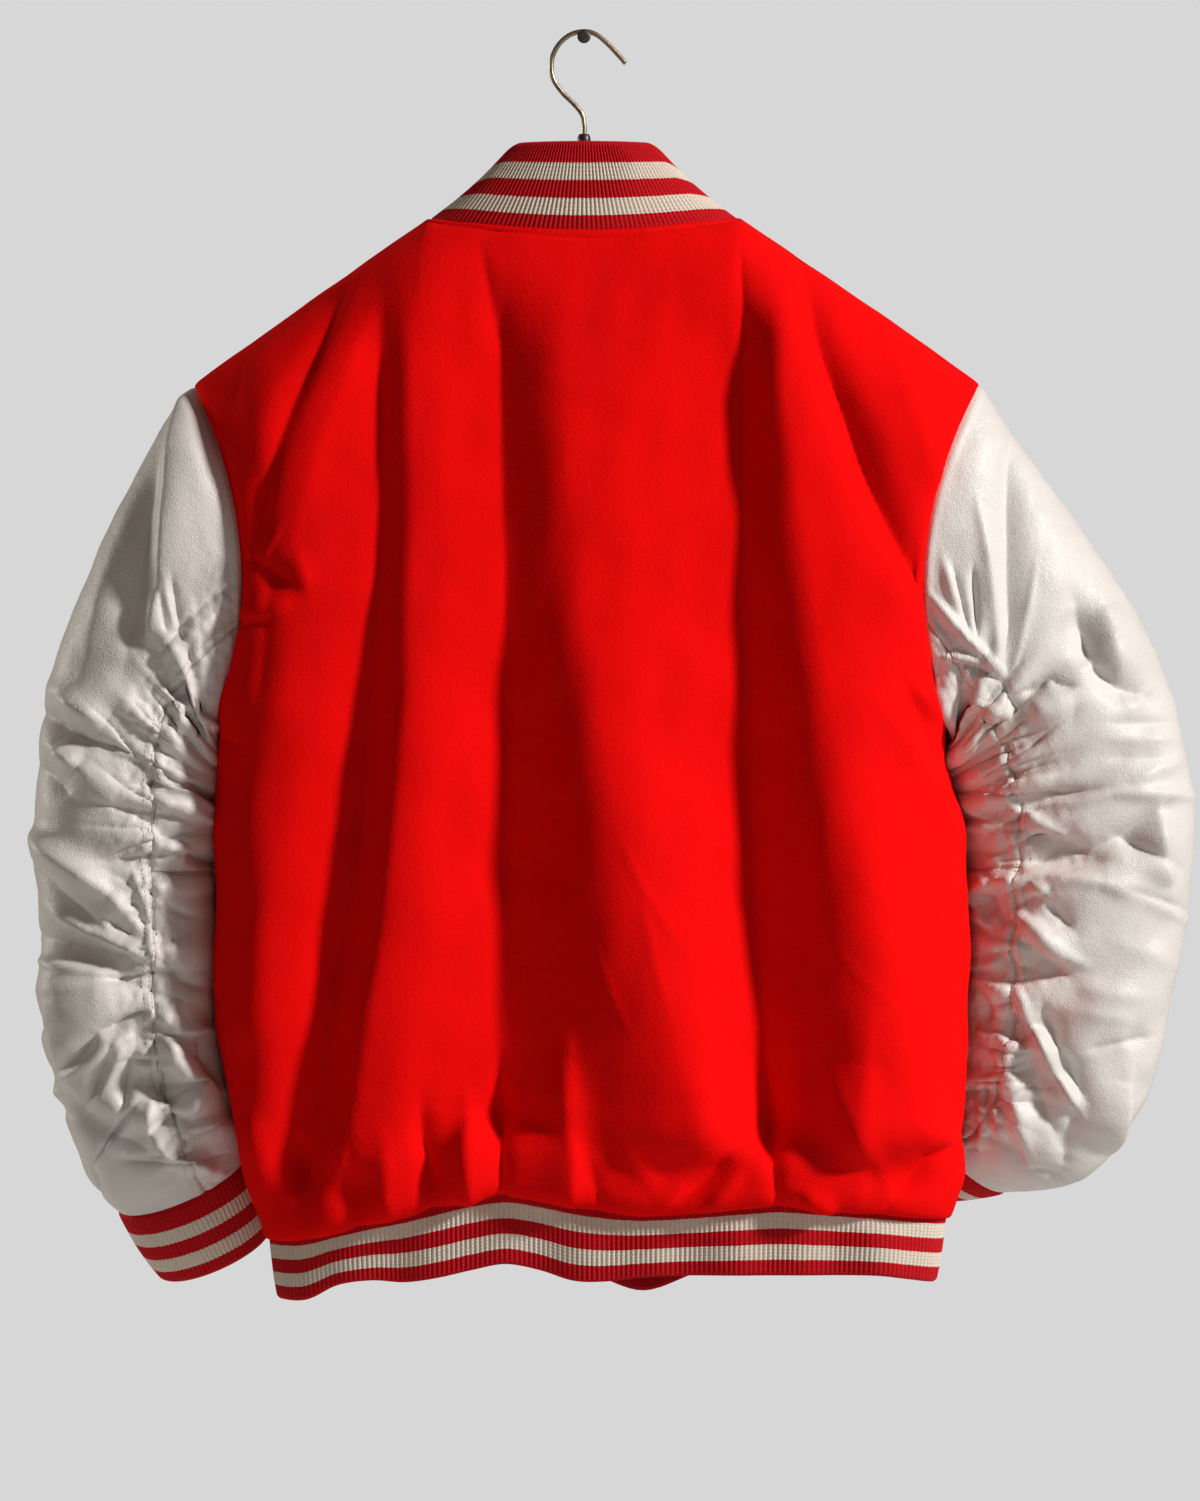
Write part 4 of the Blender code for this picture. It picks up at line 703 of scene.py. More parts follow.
def shoulderWay(side):
    tip = body["shoulder"][side]
    return unit(np.array([side * (body["neckZ"] - tip[1]), 0.0, abs(tip[0]) - body["neckHalf"]]))


def slant(t):
    # a straight ramp that rounds off at its crest, and a little at its foot
    ramp = np.where(t < 0.6, 1.25 * t, 1.0 - 1.5625 * (1.0 - t) ** 2)
    return np.sqrt(ramp * ramp + 0.0030) - math.sqrt(0.0030) * (1.0 - t)


def foldRelief(folds, x, z):
    strength = ease((body["foldStart"] - z) / body["foldFade"])
    lower = ease((body["lowerStart"] - z) / body["lowerFade"])
    reliefs = [lerp(f[4], f[5], lower) for f in folds]
    high, middle, low = body["foldHeights"]
    z = np.clip(z, low, high)
    atTop = (z - middle) * (z - low) / ((high - middle) * (high - low))
    atMiddle = (z - high) * (z - low) / ((middle - high) * (middle - low))
    places = [f[1] * atTop + f[2] * atMiddle + f[3] * (1.0 - atTop - atMiddle) for f in folds]
    total = np.zeros_like(x)
    for k in range(len(folds) - 1):
        t = np.clip((x - places[k]) / (places[k + 1] - places[k]), 0.0, 1.0)
        if folds[k][0] == "valley":
            rise = slant(t)
        elif folds[k + 1][0] == "valley":
            rise = 1.0 - slant(1.0 - t)
        else:
            rise = ease(t)
        inside = (x >= places[k]) & (x <= places[k + 1])
        total = np.where(inside, strength * lerp(reliefs[k], reliefs[k + 1], rise), total)
    return total


def hemLineZ(x, back, line):
    # the hem band's seam, line 0, or its free edge, line 1
    rows = hemBackLines if back else hemFrontLines
    left, right = body["hemX"][-1], body["hemX"][1]
    share = (np.asarray(x, float) - left) / (right - left)
    level = throughRows([row[line] / 1000.0 for row in rows], share * (len(rows) - 1.0))
    if back:
        return level
    reach = 1.0 - np.minimum(np.abs(2.0 * share - 1.0), 1.0) ** 4
    return level - body["sag"] * np.exp(-((x - body["sagX"]) / body["sagWidth"]) ** 2) * reach


def hemSeamZ(x, back):
    return hemLineZ(x, back, 0)


def lapOffset(side, x, step):
    if side == 0:
        return 0.0 * x
    return -side * step * ease((body["lapHalf"] + body["lapFade"] - side * x) / body["lapFade"])


def sidePoint(side, kind, place):
    seamX = body["hemX"][side]
    seamZ = float(hemSeamZ(np.array(seamX), True))
    if kind == "curl":
        rise, swell = curlTable[place][:2]
        return np.array([seamX + side * (0.2 * swell + 0.3 * max(rise, 0.0)), 0.0, seamZ + rise])
    if kind == "side":
        pit = body["armpit"][side]
        z = lerp(seamZ + body["curlReach"], pit[1], place)
        return np.array([pit[0] if place >= 1.0 else lookUp(sideTable, z, 1 if side < 0 else 2), 0.0, z])
    return ringPoint(side, place)


def torsoRow(back, side, kind, place, lowShare, highShare, tops, lapX):
    climb = (1.0 - place / 180.0) ** 1.2 if kind == "arm" else 0.0
    left, right = sidePoint(-1, kind, place), sidePoint(1, kind, place)
    share = lerp(lowShare, highShare, climb)
    x = lerp(left[0], right[0], share)
    fullness = (1.0 - np.minimum(np.abs(2.0 * share - 1.0), 1.0) ** body["sectionPower"]) ** body["sectionRound"]
    sign = -1.0 if back else 1.0
    if kind == "curl":
        rise, swell, lapSwell = curlTable[place]
        if not back:
            swell = lerp(lapSwell, swell, ease((np.abs(x) - body["lapHalf"]) / body["lapFade"]))
        depth = (body["hemBackDepth"] if back else body["hemFrontDepth"]) + swell
        z = hemSeamZ(x, back) + rise
        y = sign * depth * fullness + lapOffset(side, x, body["lapStepHem"])
    else:
        pitZ = lerp(body["armpit"][-1][1], body["armpit"][1][1], share)
        if kind == "side":
            z = lerp(hemSeamZ(x, back) + body["curlReach"], pitZ, place)
            edge, dip, topY = 0.0, 1.0, 0.0
        else:
            z = tops[:, 2] - (tops[:, 2] - pitZ) * (1.0 - math.cos(math.radians(place))) / 2.0
            edge = body["armholeDepth"] * math.sin(math.radians(place))
            dip = np.sqrt(1.0 - (1.0 - np.clip((tops[:, 2] - z) / body["roof"], 0.0, 1.0)) ** 2)
            topY = np.abs(tops[:, 1])
        depth = lookUp(depthTable, z, 1 if back else 2) + foldRelief(backFolds if back else frontFolds, x, z)
        y = edge * (1.0 - fullness) + lerp(topY, depth, dip) * fullness
        y = sign * y + lapOffset(side, x, body["lapStep"])
    if lapX is not None:  # the lapping columns keep to their own x
        near, held = lapX
        x = lerp(x, held, near)
    return np.stack([x, y, z + 0.0 * x], axis=-1)


def torsoGrid(back, side, step):
    # columns run over the shoulder and round the neck, rows from hem to top
    shoulders, neck = body["shoulderColumns"], body["neckColumns"][0 if back else 1]
    lapAngle = math.degrees(math.asin(body["lapHalf"] / body["neckHalf"]))
    last = 2 * shoulders + neck if back else shoulders + neck + 2

    def topLine(s):
        first = -1 if back else side
        start = np.array([body["shoulder"][first][0], 0.0, body["shoulder"][first][1]])
        end = np.array([first * body["neckHalf"], 0.0, body["neckZ"]])
        share = np.clip(s / shoulders, 0.0, 1.0)[:, None] ** body["shoulderCrowd"]
        line = lerp(start, end, share)
        if back:
            angle = lerp(-90.0, 90.0, (s - shoulders) / neck)
            endRight = np.array([body["neckHalf"], 0.0, body["neckZ"]])
            startRight = np.array([body["shoulder"][1][0], 0.0, body["shoulder"][1][1]])
            shareRight = np.clip((last - s) / shoulders, 0.0, 1.0)[:, None] ** body["shoulderCrowd"]
            line = np.where((s > shoulders + neck)[:, None], lerp(startRight, endRight, shareRight), line)
            inNeck = (s >= shoulders) & (s <= shoulders + neck)
        else:
            angle = side * lerp(90.0, 180.0 - lapAngle, (s - shoulders) / neck)
            lapAngles = side * (180.0 + lapAngle * (s - shoulders - neck - 1.0))
            angle = np.where(s > shoulders + neck, lapAngles, angle)
            inNeck = s >= shoulders
        line = np.where(inNeck[:, None], neckSeam(angle), line)
        return line, angle, inNeck

    whole = np.arange(last + 1.0)
    if back:
        columns = 2.0 * whole / last - 1.0
    else:
        reach = last - 2
        columns = side * (1.0 - 0.93 * whole[:reach + 1] / reach)
    shares = (lerp(columns, np.sin(columns * math.pi / 2.0), 0.8) + 1.0) / 2.0
    if not back:
        laps = side * body["lapHalf"] * (1.0 - np.arange(3.0))
        width = body["hemX"][1] - body["hemX"][-1]
        shares = np.concatenate([shares[:-1], (laps - body["hemX"][-1]) / width])
    tops, _, _ = topLine(whole)
    widths = stepLengths(np.stack([lerp(-0.27, 0.27, shares), 0.0 * whole, 0.0 * whole], axis=-1)) * 1.12
    s = fineMarks(widths, step, sidePinches, sidePinches)
    tops, angles, inNeck = topLine(s)
    lowShare = np.interp(s, whole, shares)
    left, right = body["shoulder"][-1][0], body["shoulder"][1][0]
    highShare = (tops[:, 0] - left) / (right - left)
    lapX = None
    if not back:
        edge = shoulders + neck
        held = side * body["lapHalf"] * (1.0 - np.clip(s - edge, 0.0, 2.0))
        lapX = (ease(s - edge + 1.0), held)
    rows = [("curl", k) for k in range(len(curlTable))]
    sideRows, armRows = body["sideRows"], body["armRows"]
    rows += [("side", 1.0 - (1.0 - k / sideRows) ** body["sideCrowd"]) for k in range(sideRows + 1)]
    rows += [("arm", 180.0 - 180.0 * k / armRows) for k in range(1, armRows + 1)]
    control = np.stack([torsoRow(back, side, kind, place, lowShare, highShare, tops, lapX)
                        for kind, place in rows])
    control[-1] = tops
    control[-1, :, 1] += lapOffset(side, tops[:, 0], body["lapStep"])
    middle = control.shape[1] // 2
    marks = fineMarks(stepLengths(control[:, middle]), step, rimPinches, ())
    grid = throughRows(control, marks)
    near = edgeDistances(grid)
    extra = []
    for pinch in neckPinches:  # more rows by the neck and shoulder seams
        extra.append(np.interp(-pinch, -near["top"][:, middle], marks))
    marks = np.array(sorted(set(marks) | set(extra)))
    grid = throughRows(control, marks)
    near = edgeDistances(grid)
    aside = np.minimum(near["left"], near["right"]) if back else near["left"]
    pit = (body["armpit"][-1][1] + body["armpit"][1][1]) / 2.0
    share = ease((aside - 0.003) / 0.030) * ease((0.075 - np.abs(grid[..., 2] - pit)) / 0.030)
    grid = relax(grid, share, body["underarmRelax"])
    kinds = np.interp(marks, np.arange(len(rows)), [180.0 if kind != "arm" else place for kind, place in rows])
    return grid, kinds, angles, inNeck


def torsoWays(grid, back, side, kinds, angles, inNeck):
    sign = -1.0 if back else 1.0
    ways = gridWays(grid)
    if ways[grid.shape[0] // 2, grid.shape[1] // 2, 1] * sign < 0.0:
        ways = -ways
    near = edgeDistances(grid)
    borders = [(-1, 0, "left"), (1, -1, "right")] if back else [(side, 0, "left")]
    for end, column, name in borders:
        profile = grid[:, column]
        along = np.gradient(profile, axis=0)
        sideWay = unit(np.stack([end * along[:, 2], 0.0 * along[:, 0], -end * along[:, 0]], axis=-1))
        ring = ringWay(end, kinds)
        ring[:, 1] *= -sign
        held = np.where((kinds < 179.99)[:, None], ring, sideWay)
        share = ease(near[name] / seamTurn)[..., None]
        ways = unit(lerp(held[:, None, :], ways, share))
    top = neckWay(angles)
    for k in range(len(top)):
        if not inNeck[k]:
            end = -1 if grid[-1, k, 0] < 0.0 else 1
            top[k] = shoulderWay(end)
    share = ease(near["top"] / seamTurn)[..., None]
    return unit(lerp(top[None], ways, share))


def lowest(relief, reach):
    # the least relief near each point
    for axis in (0, 1):
        width = [(reach, reach) if k == axis else (0, 0) for k in (0, 1)]
        padded = np.pad(relief, width, mode="edge")
        count = relief.shape[axis]
        shifted = [np.take(padded, range(k, k + count), axis=axis) for k in range(2 * reach + 1)]
        relief = np.minimum.reduce(shifted)
    return relief


def linedSkin(grid, ways, half, smooth, smoothWays, relief, reach, closest):
    # the lining: it follows the wall along its borders and hangs clear of the creases elsewhere
    kept = smooth + smoothWays * (lowest(relief, reach) - half)[..., None]
    return lerp(grid - ways * half[..., None], kept, ease((closest - 0.001) / 0.007)[..., None])


def torsoPiece(name, back, side, finishes):
    grid, kinds, angles, inNeck = torsoGrid(back, side, body["backStep"] if back else body["frontStep"])
    ways = torsoWays(grid, back, side, kinds, angles, inNeck)
    near = edgeDistances(grid)
    seams = ["left", "right", "top"] if back else ["left", "top"]
    _, seam = seamProfile(near, seams, body["half"])
    relief = creaseField(grid[..., 0], grid[..., 2], backCreases if back else frontCreases)
    relief += ripples(grid, 11 if back else 12 + side, 14, 0.03, 0.11, 0.0016)
    relief *= ease(seam / 0.012) * (0.5 + 0.5 * ease(near["low"] / 0.012))
    relief += groove(seam, 0.0, 0.0030, 0.0010)
    relief += groove(near["top"], 0.0088, 0.0017, 0.0026) + groove(near["top"], 0.0048, 0.0026, -0.0014)
    smooth, smoothWays = grid, ways
    grid = grid + ways * relief[..., None]
    ways = torsoWays(grid, back, side, kinds, angles, inNeck)
    half, closest = seamProfile(near, ["left", "right", "top", "low"], body["half"])
    inside = linedSkin(grid, ways, half, smooth, smoothWays, relief, 2, closest)
    piece = wallPiece(name, grid + ways * half[..., None], inside, arcUvs(grid), finishes)
    print(name, len(piece.data.polygons), "faces")
    return piece, grid, ways, angles, inNeck


# sleeves

sleeves = {
    "lastRow": 13.0, "rowLength": 0.0465, "degreeLength": 0.00122,  # the tube's rows and its girth, in metres
    "half": 0.0009, "step": 0.00178, "seamAngle": 112.0, "drift": {-1: 108.0, 1: 124.0}, "driftSections": 3.0,
    "split": 13.0 * 16.0 / 30.0, "rucheRelief": 0.0035, "ruchePitch": 0.80, "rucheReach": 34.0,
    "rucheFirst": 2.5, "rucheLast": 10.5, "cuffLean": 0.6, "creaseGain": 1.25,
    "flat": {-1: 0.58, 1: 0.80},
}
sleeveTables = {  # outX, outZ, inX, inZ, middle y, depth, bow, lean
    -1: (
        (-0.280, -0.252, -0.264, -0.503, 0.000, 0.056, 0.028, 0.000),
        (-0.303, -0.282, -0.265, -0.508, 0.002, 0.061, 0.020, 0.000),
        (-0.331, -0.334, -0.264, -0.514, 0.004, 0.065, 0.010, 0.000),
        (-0.355, -0.387, -0.263, -0.522, 0.007, 0.068, 0.004, 0.000),
        (-0.378, -0.441, -0.262, -0.532, 0.013, 0.070, 0.000, 0.000),
        (-0.391, -0.495, -0.262, -0.547, 0.018, 0.073, 0.000, 0.000),
        (-0.396, -0.549, -0.262, -0.570, 0.022, 0.074, 0.000, 0.000),
        (-0.396, -0.603, -0.261, -0.606, 0.023, 0.073, 0.000, 0.000),
        (-0.393, -0.657, -0.261, -0.655, 0.022, 0.071, 0.000, 0.000),
        (-0.391, -0.710, -0.261, -0.705, 0.021, 0.068, 0.000, 0.000),
        (-0.383, -0.756, -0.256, -0.745, 0.022, 0.063, 0.000, 0.002),
        (-0.368, -0.795, -0.250, -0.775, 0.025, 0.056, 0.000, 0.006),
        (-0.356, -0.826, -0.245, -0.794, 0.031, 0.048, 0.000, 0.010),
        (-0.337, -0.846, -0.246, -0.806, 0.034, 0.036, 0.000, 0.013),
    ),
    1: (
        (0.284, -0.251, 0.262, -0.500, 0.000, 0.056, -0.030, 0.000),
        (0.309, -0.287, 0.263, -0.506, 0.004, 0.059, -0.020, 0.000),
        (0.343, -0.334, 0.263, -0.512, 0.010, 0.061, -0.010, 0.000),
        (0.376, -0.380, 0.264, -0.519, 0.017, 0.062, -0.004, 0.000),
        (0.405, -0.428, 0.266, -0.528, 0.023, 0.063, 0.000, 0.000),
        (0.427, -0.480, 0.272, -0.541, 0.028, 0.064, 0.000, 0.000),
        (0.439, -0.533, 0.273, -0.563, 0.033, 0.064, 0.000, 0.000),
        (0.441, -0.593, 0.273, -0.603, 0.036, 0.063, 0.000, 0.000),
        (0.435, -0.650, 0.273, -0.655, 0.037, 0.062, 0.000, 0.000),
        (0.424, -0.705, 0.272, -0.705, 0.039, 0.060, 0.000, 0.000),
        (0.413, -0.750, 0.269, -0.740, 0.043, 0.057, 0.000, 0.000),
        (0.393, -0.787, 0.264, -0.762, 0.050, 0.052, 0.000, 0.004),
        (0.362, -0.825, 0.258, -0.776, 0.063, 0.046, 0.000, 0.010),
        (0.309, -0.834, 0.242, -0.764, 0.080, 0.035, 0.000, 0.015),
    ),
}
sleeveFolds = {  # angle, section, reach, width, slope, relief
    -1: (
        (110.0, 3.4, 55.0, 0.35, 0.010, -0.006), (100.0, 6.0, 60.0, 0.50, 0.000, 0.004),
        (120.0, 7.2, 45.0, 0.22, 0.000, -0.006), (75.0, 8.2, 60.0, 0.40, 0.012, -0.005),
        (100.0, 9.6, 60.0, 0.40, -0.008, -0.006), (60.0, 10.7, 60.0, 0.35, 0.016, -0.007),
        (120.0, 10.9, 45.0, 0.40, 0.010, 0.005), (300.0, 5.0, 60.0, 0.60, 0.010, -0.005),
        (290.0, 9.0, 60.0, 0.50, -0.010, -0.006),
    ),
    1: (
        (100.0, 3.6, 55.0, 0.35, 0.010, -0.005), (95.0, 5.8, 60.0, 0.35, 0.014, -0.005),
        (90.0, 7.4, 65.0, 0.40, 0.014, 0.004), (85.0, 8.6, 60.0, 0.35, 0.016, -0.006),
        (80.0, 10.0, 60.0, 0.40, 0.016, -0.006), (60.0, 11.0, 60.0, 0.35, 0.010, 0.004),
        (300.0, 5.0, 60.0, 0.60, 0.010, -0.005), (290.0, 9.0, 60.0, 0.50, -0.010, -0.006),
    ),
}
sleeveCreases = {  # the folds that show from behind
    -1: (
        (-284, -256, -302, -400, 2, 19, -0.60, 12), (-298, -292, -326, -450, 2, 13, 0, -5),
        (-302, -392, -312, -440, 0, 7, -0.3, 4),
        (-319, -324, -354, -450, 3, 12, 0, 3), (-292, -390, -287, -430, 1, 3, 0, -2.5),
        (-302, -401, -296, -432, 1, 3, 0, -2.5), (-297, -390, -291, -430, 1, 3, 0, 2),
        (-246, -394, -300, -444, 5, 2.2, 0, -2.5), (-290, -440, -262, -417, 0, 6, 0, 3),
        (-304, -457, -266, -489, 3, 9, 0, -6), (-292, -476, -287, -507, -3, 3.5, 0, 4),
        (-288, -476, -262, -497, 2, 4.5, 0, 5), (-284, -482, -271, -505, 0, 5, 0, -6),
        (-306, -475, -290, -512, 0, 4, 0, 3), (-374, -474, -342, -496, 0, 12, -0.2, 8.5),
        (-390, -486, -346, -510, 2, 7, 0, -8), (-350, -508, -306, -526, -2, 7, 0, -7),
        (-378, -512, -360, -526, 0, 8, 0, 7), (-392, -524, -366, -546, 0, 8, 0, -5),
        (-360, -520, -330, -560, 0, 12, 0, 2.5),
        (-307, -527, -265, -558, 3, 4.5, 0, 5), (-284, -536, -264, -552, 0, 4, 0, -6),
        (-309, -549, -265, -566, -3, 4, 0, 4), (-307, -567, -283, -580, 0, 4, 0, -4.5),
        (-300, -582, -276, -588, 0, 4, 0, 2.5), (-285, -588, -262, -596, 0, 6, 0, -8),
        (-322, -600, -262, -601, 0, 2, 0, -2), (-318, -609, -264, -612, 2, 5, 0, 2),
        (-322, -601, -311, -632, 0, 3, -0.4, 3), (-311, -632, -306, -668, 1, 3, -0.4, 3),
        (-300, -640, -296, -668, 3, 4, 0, -2.5), (-298, -668, -270, -684, 3, 4, 0, -2.5),
        (-397, -572, -338, -616, 0, 12, 0.2, 11), (-340, -616, -316, -640, 0, 5, 0, 4),
        (-392, -596, -348, -636, 2, 6, 0.2, -6.5), (-383, -626, -351, -645, 0, 4, 0, 4),
        (-353, -644, -309, -663, -1, 4, 0, 5), (-341, -634, -318, -647, 0, 4, 0, -4.5),
        (-394, -646, -318, -664, 0, 12, 0.3, -8), (-394, -664, -330, -674, 1, 4, 0, 4),
        (-330, -674, -309, -669, 0, 3.5, 0, 3), (-342, -680, -309, -671, 0, 4, 0, -3),
        (-394, -686, -326, -684, 0, 20, 0, 7), (-378, -690, -372, -742, 0, 20, -0.5, 7),
        (-378, -745, -346, -714, 2, 6, 0, -8),
        (-348, -715, -309, -698, 2, 5.5, 0, -8), (-373, -748, -318, -708, 2, 5, 0, 4),
        (-356, -765, -337, -722, 2, 5, 0, -5.5), (-346, -760, -328, -722, 0, 5, 0, 3.5),
        (-331, -776, -321, -728, -2, 5, 0, -6), (-304, -702, -272, -714, 2, 8, 0, 10),
        (-304, -719, -268, -752, 4, 9, 0, 14), (-268, -752, -286, -776, 3, 7, 0, 11),
        (-314, -748, -284, -768, 0, 8, 0, -10), (-277, -724, -262, -757, 0, 6, 0, -7),
        (-309, -769, -310, -786, 2, 5.5, 0, 8), (-308, -787, -266, -815, 4, 8, 0, 12),
        (-305, -779, -278, -777, 0, 5, 0, -5.5), (-318, -765, -354, -812, 1, 2, 0, -3.5),
        (-354, -812, -349, -836, 0, 2.5, 0, -3), (-345, -800, -322, -780, 0, 7, 0, 3),
        (-334, -790, -314, -800, -2, 4, 0, -2.5), (-330, -806, -300, -808, 2, 5, 0, -2.5),
        (-402, -700, -384, -716, 0, 6, 0, -5), (-398, -768, -372, -775, 0, 5, 0, -7),
        (-392, -757, -372, -762, 0, 5, 0, 3),
    ),
    1: (
        (306, -290, 302, -455, 0, 12, 0, -8), (281, -340, 296, -452, -3, 6, 0, 4),
        (263, -385, 275, -430, 0, 3, 0, -4.5), (277, -384, 280, -430, 0, 3, 0, -4.5),
        (256, -380, 268, -415, 0, 4.5, 0, 3.5), (247, -403, 299, -458, 2, 3.5, 0, 5.5),
        (254, -447, 296, -460, -4, 3.5, 0, 4.5), (266, -451, 296, -463, -2, 3, 0, -5),
        (268, -457, 262, -510, -5, 6, 0, -8), (247, -461, 266, -498, 0, 5.5, 0, 5),
        (276, -479, 310, -487, 2, 6, 0, 5), (300, -468, 311, -488, 0, 3, 0, -5),
        (262, -520, 311, -489, 2, 5, 0, 5), (265, -527, 312, -494, 2, 3, 0, -6),
        (323, -380, 303, -464, -2, 3, 0, 1.5), (353, -412, 365, -452, 0, 12, 0, -10),
        (372, -410, 388, -470, 2, 14, -0.3, 7),
        (363, -450, 402, -475, 3, 11, 0, -9), (362, -440, 380, -431, 0, 5, 0, 2.5),
        (314, -473, 332, -462, 2, 3.5, 0, -3.5), (332, -462, 352, -468, 2, 3.5, 0, -3.5),
        (316, -482, 350, -480, 3, 13, 0, 4.5), (372, -494, 426, -494, 0, 5, 0, -2),
        (372, -505, 426, -506, 0, 5, 0, 1.5), (372, -518, 420, -520, 0, 6, 0, -1.5),
        (294, -545, 336, -532, 0, 3.5, 0, 3.5), (308, -549, 372, -541, 1, 5, 0, -4.5),
        (321, -554, 378, -544, 2, 5, 0, 4), (378, -544, 441, -547, -1, 6, 0, 4.5),
        (390, -537, 430, -520, 0, 6, 0, 2.5), (312, -575, 362, -588, -3, 10, 0.2, -8.5),
        (350, -588, 412, -556, 5, 10, 0.2, -8.5), (305, -551, 352, -580, 2, 4.5, 0, 4.5),
        (316, -590, 376, -594, 0, 9, 0, -5.5), (322, -604, 369, -608, -1, 6, 0, 4.5),
        (369, -608, 432, -635, -3, 7, 0, 5.5), (413, -560, 420, -612, 2, 10, 0.4, 8),
        (386, -576, 424, -596, 0, 8, 0.2, -7), (384, -611, 431, -628, 0, 6, 0.3, -5.5),
        (274, -547, 293, -563, 0, 3, 0, 4), (276, -569, 296, -569, 0, 3, 0, 3.5),
        (286, -588, 302, -589, 3, 3, 0, 3), (279, -616, 293, -608, 0, 4, 0, 4.5),
        (293, -608, 318, -607, 0, 4, 0, 4), (318, -607, 332, -617, 0, 4, 0, 4),
        (275, -610, 292, -642, 0, 3, 0, 4.5), (285, -617, 298, -632, 0, 5, 0, -6),
        (309, -630, 345, -665, 3, 5.5, 0, 5.5), (331, -623, 350, -642, 0, 6, 0, -4.5),
        (317, -634, 356, -665, 3, 6, 0, 5.5), (314, -648, 348, -677, 2, 8, 0, -6.5),
        (278, -627, 292, -642, 0, 3, 0, 4), (278, -670, 302, -663, 0, 3.5, 0, 3.5),
        (282, -672, 307, -690, 3, 7, 0, 6.5), (286, -688, 291, -712, 0, 4.5, 0, -6),
        (285, -712, 303, -722, 2, 5, 0, 5), (302, -722, 320, -802, 2, 7.5, 0, 6.5),
        (311, -687, 358, -776, 3, 4, -0.2, 6), (329, -696, 361, -764, 3, 8, 0, -6.5),
        (311, -706, 346, -804, 4, 9, 0, -5.5), (292, -760, 303, -799, 0, 3.5, 0, 3.5),
        (284, -758, 285, -802, -3, 4, 0, 3.5), (288, -758, 292, -789, 0, 3, 0, -4.5),
        (291, -790, 320, -817, -3, 5, 0, -4.5), (320, -817, 352, -826, -2, 5, 0, -3.5),
        (360, -729, 390, -724, 0, 6, 0, -2.5), (386, -724, 408, -720, 0, 5, 0, -2.5),
        (348, -680, 400, -690, 3, 9, 0, 2.5), (352, -700, 396, -708, 0, 7, 0, 1.5),
        (392, -752, 382, -806, 0, 11, 0.5, 7), (356, -768, 348, -806, 0, 12, 0, -6),
        (380, -650, 425, -668, 0, 10, 0, 2),
    ),
}
hiddenCreases = {  # plainer folds on the side away from the back
    -1: (
        (-284, -262, -305, -400, 2, 12, 0, 3), (-300, -420, -262, -470, 3, 7, 0, -5),
        (-310, -470, -270, -500, 3, 6, 0, 4), (-380, -480, -310, -520, 3, 9, 0, -5),
        (-390, -540, -320, -580, 3, 9, 0, 4.5), (-392, -600, -312, -634, 3, 7, 0, -5.5),
        (-392, -650, -312, -660, -3, 6, 0, 4.5), (-390, -700, -314, -680, 3, 7, 0, -5.5),
        (-384, -745, -310, -712, 3, 6, 0, 4.5), (-366, -785, -300, -744, 3, 6, 0, -6),
        (-346, -806, -276, -776, 3, 6, 0, 5), (-300, -640, -264, -660, 0, 6, 0, -4),
    ),
    1: (
        (288, -262, 312, -400, 2, 12, 0, 3), (300, -420, 262, -470, 3, 7, 0, -5),
        (310, -470, 272, -500, 3, 6, 0, 4), (400, -480, 320, -516, 3, 9, 0, -5),
        (430, -540, 322, -570, 3, 9, 0, 4.5), (436, -600, 320, -620, 3, 7, 0, -5.5),
        (430, -650, 318, -656, -3, 6, 0, 4.5), (420, -700, 318, -684, 3, 7, 0, -5.5),
        (404, -745, 312, -718, 3, 6, 0, 4.5), (376, -785, 300, -744, 3, 6, 0, -6),
        (300, -640, 276, -660, 0, 6, 0, -4),
    ),
}


def driftedAngle(side, angle, place):
    goal = lerp(sleeves["seamAngle"], sleeves["drift"][side], ease(place / sleeves["driftSections"]))
    angle = np.mod(angle, 360.0)
    half = np.minimum(angle, 360.0 - angle)
    outer = half * goal / sleeves["seamAngle"]
    inner = 180.0 - (180.0 - half) * (180.0 - goal) / (180.0 - sleeves["seamAngle"])
    half = np.where(half <= sleeves["seamAngle"], outer, inner)
    return np.where(angle <= 180.0, half, 360.0 - half)


def sleeveFoldAt(side, angle, place):
    total = np.zeros(np.broadcast(angle, place).shape)
    for middle, at, reach, width, slope, relief in sleeveFolds[side]:
        turn = np.mod(angle - middle + 180.0, 360.0) - 180.0
        off = (place - at - slope * turn) / width
        total += relief * np.exp(-off * off - (turn / reach) ** 2)
    gathered = ease(place - sleeves["rucheFirst"] + 1.0) * ease(sleeves["rucheLast"] + 1.0 - place)
    for middle in (sleeves["drift"][side], 360.0 - sleeves["drift"][side]):
        turn = np.mod(angle - middle + 180.0, 360.0) - 180.0
        wave = np.cos(2.0 * math.pi * place / sleeves["ruchePitch"])
        total += sleeves["rucheRelief"] * wave * np.exp(-(turn / sleeves["rucheReach"]) ** 2) * gathered
    return total * ease(place / 1.5) * ease(sleeves["lastRow"] - place)


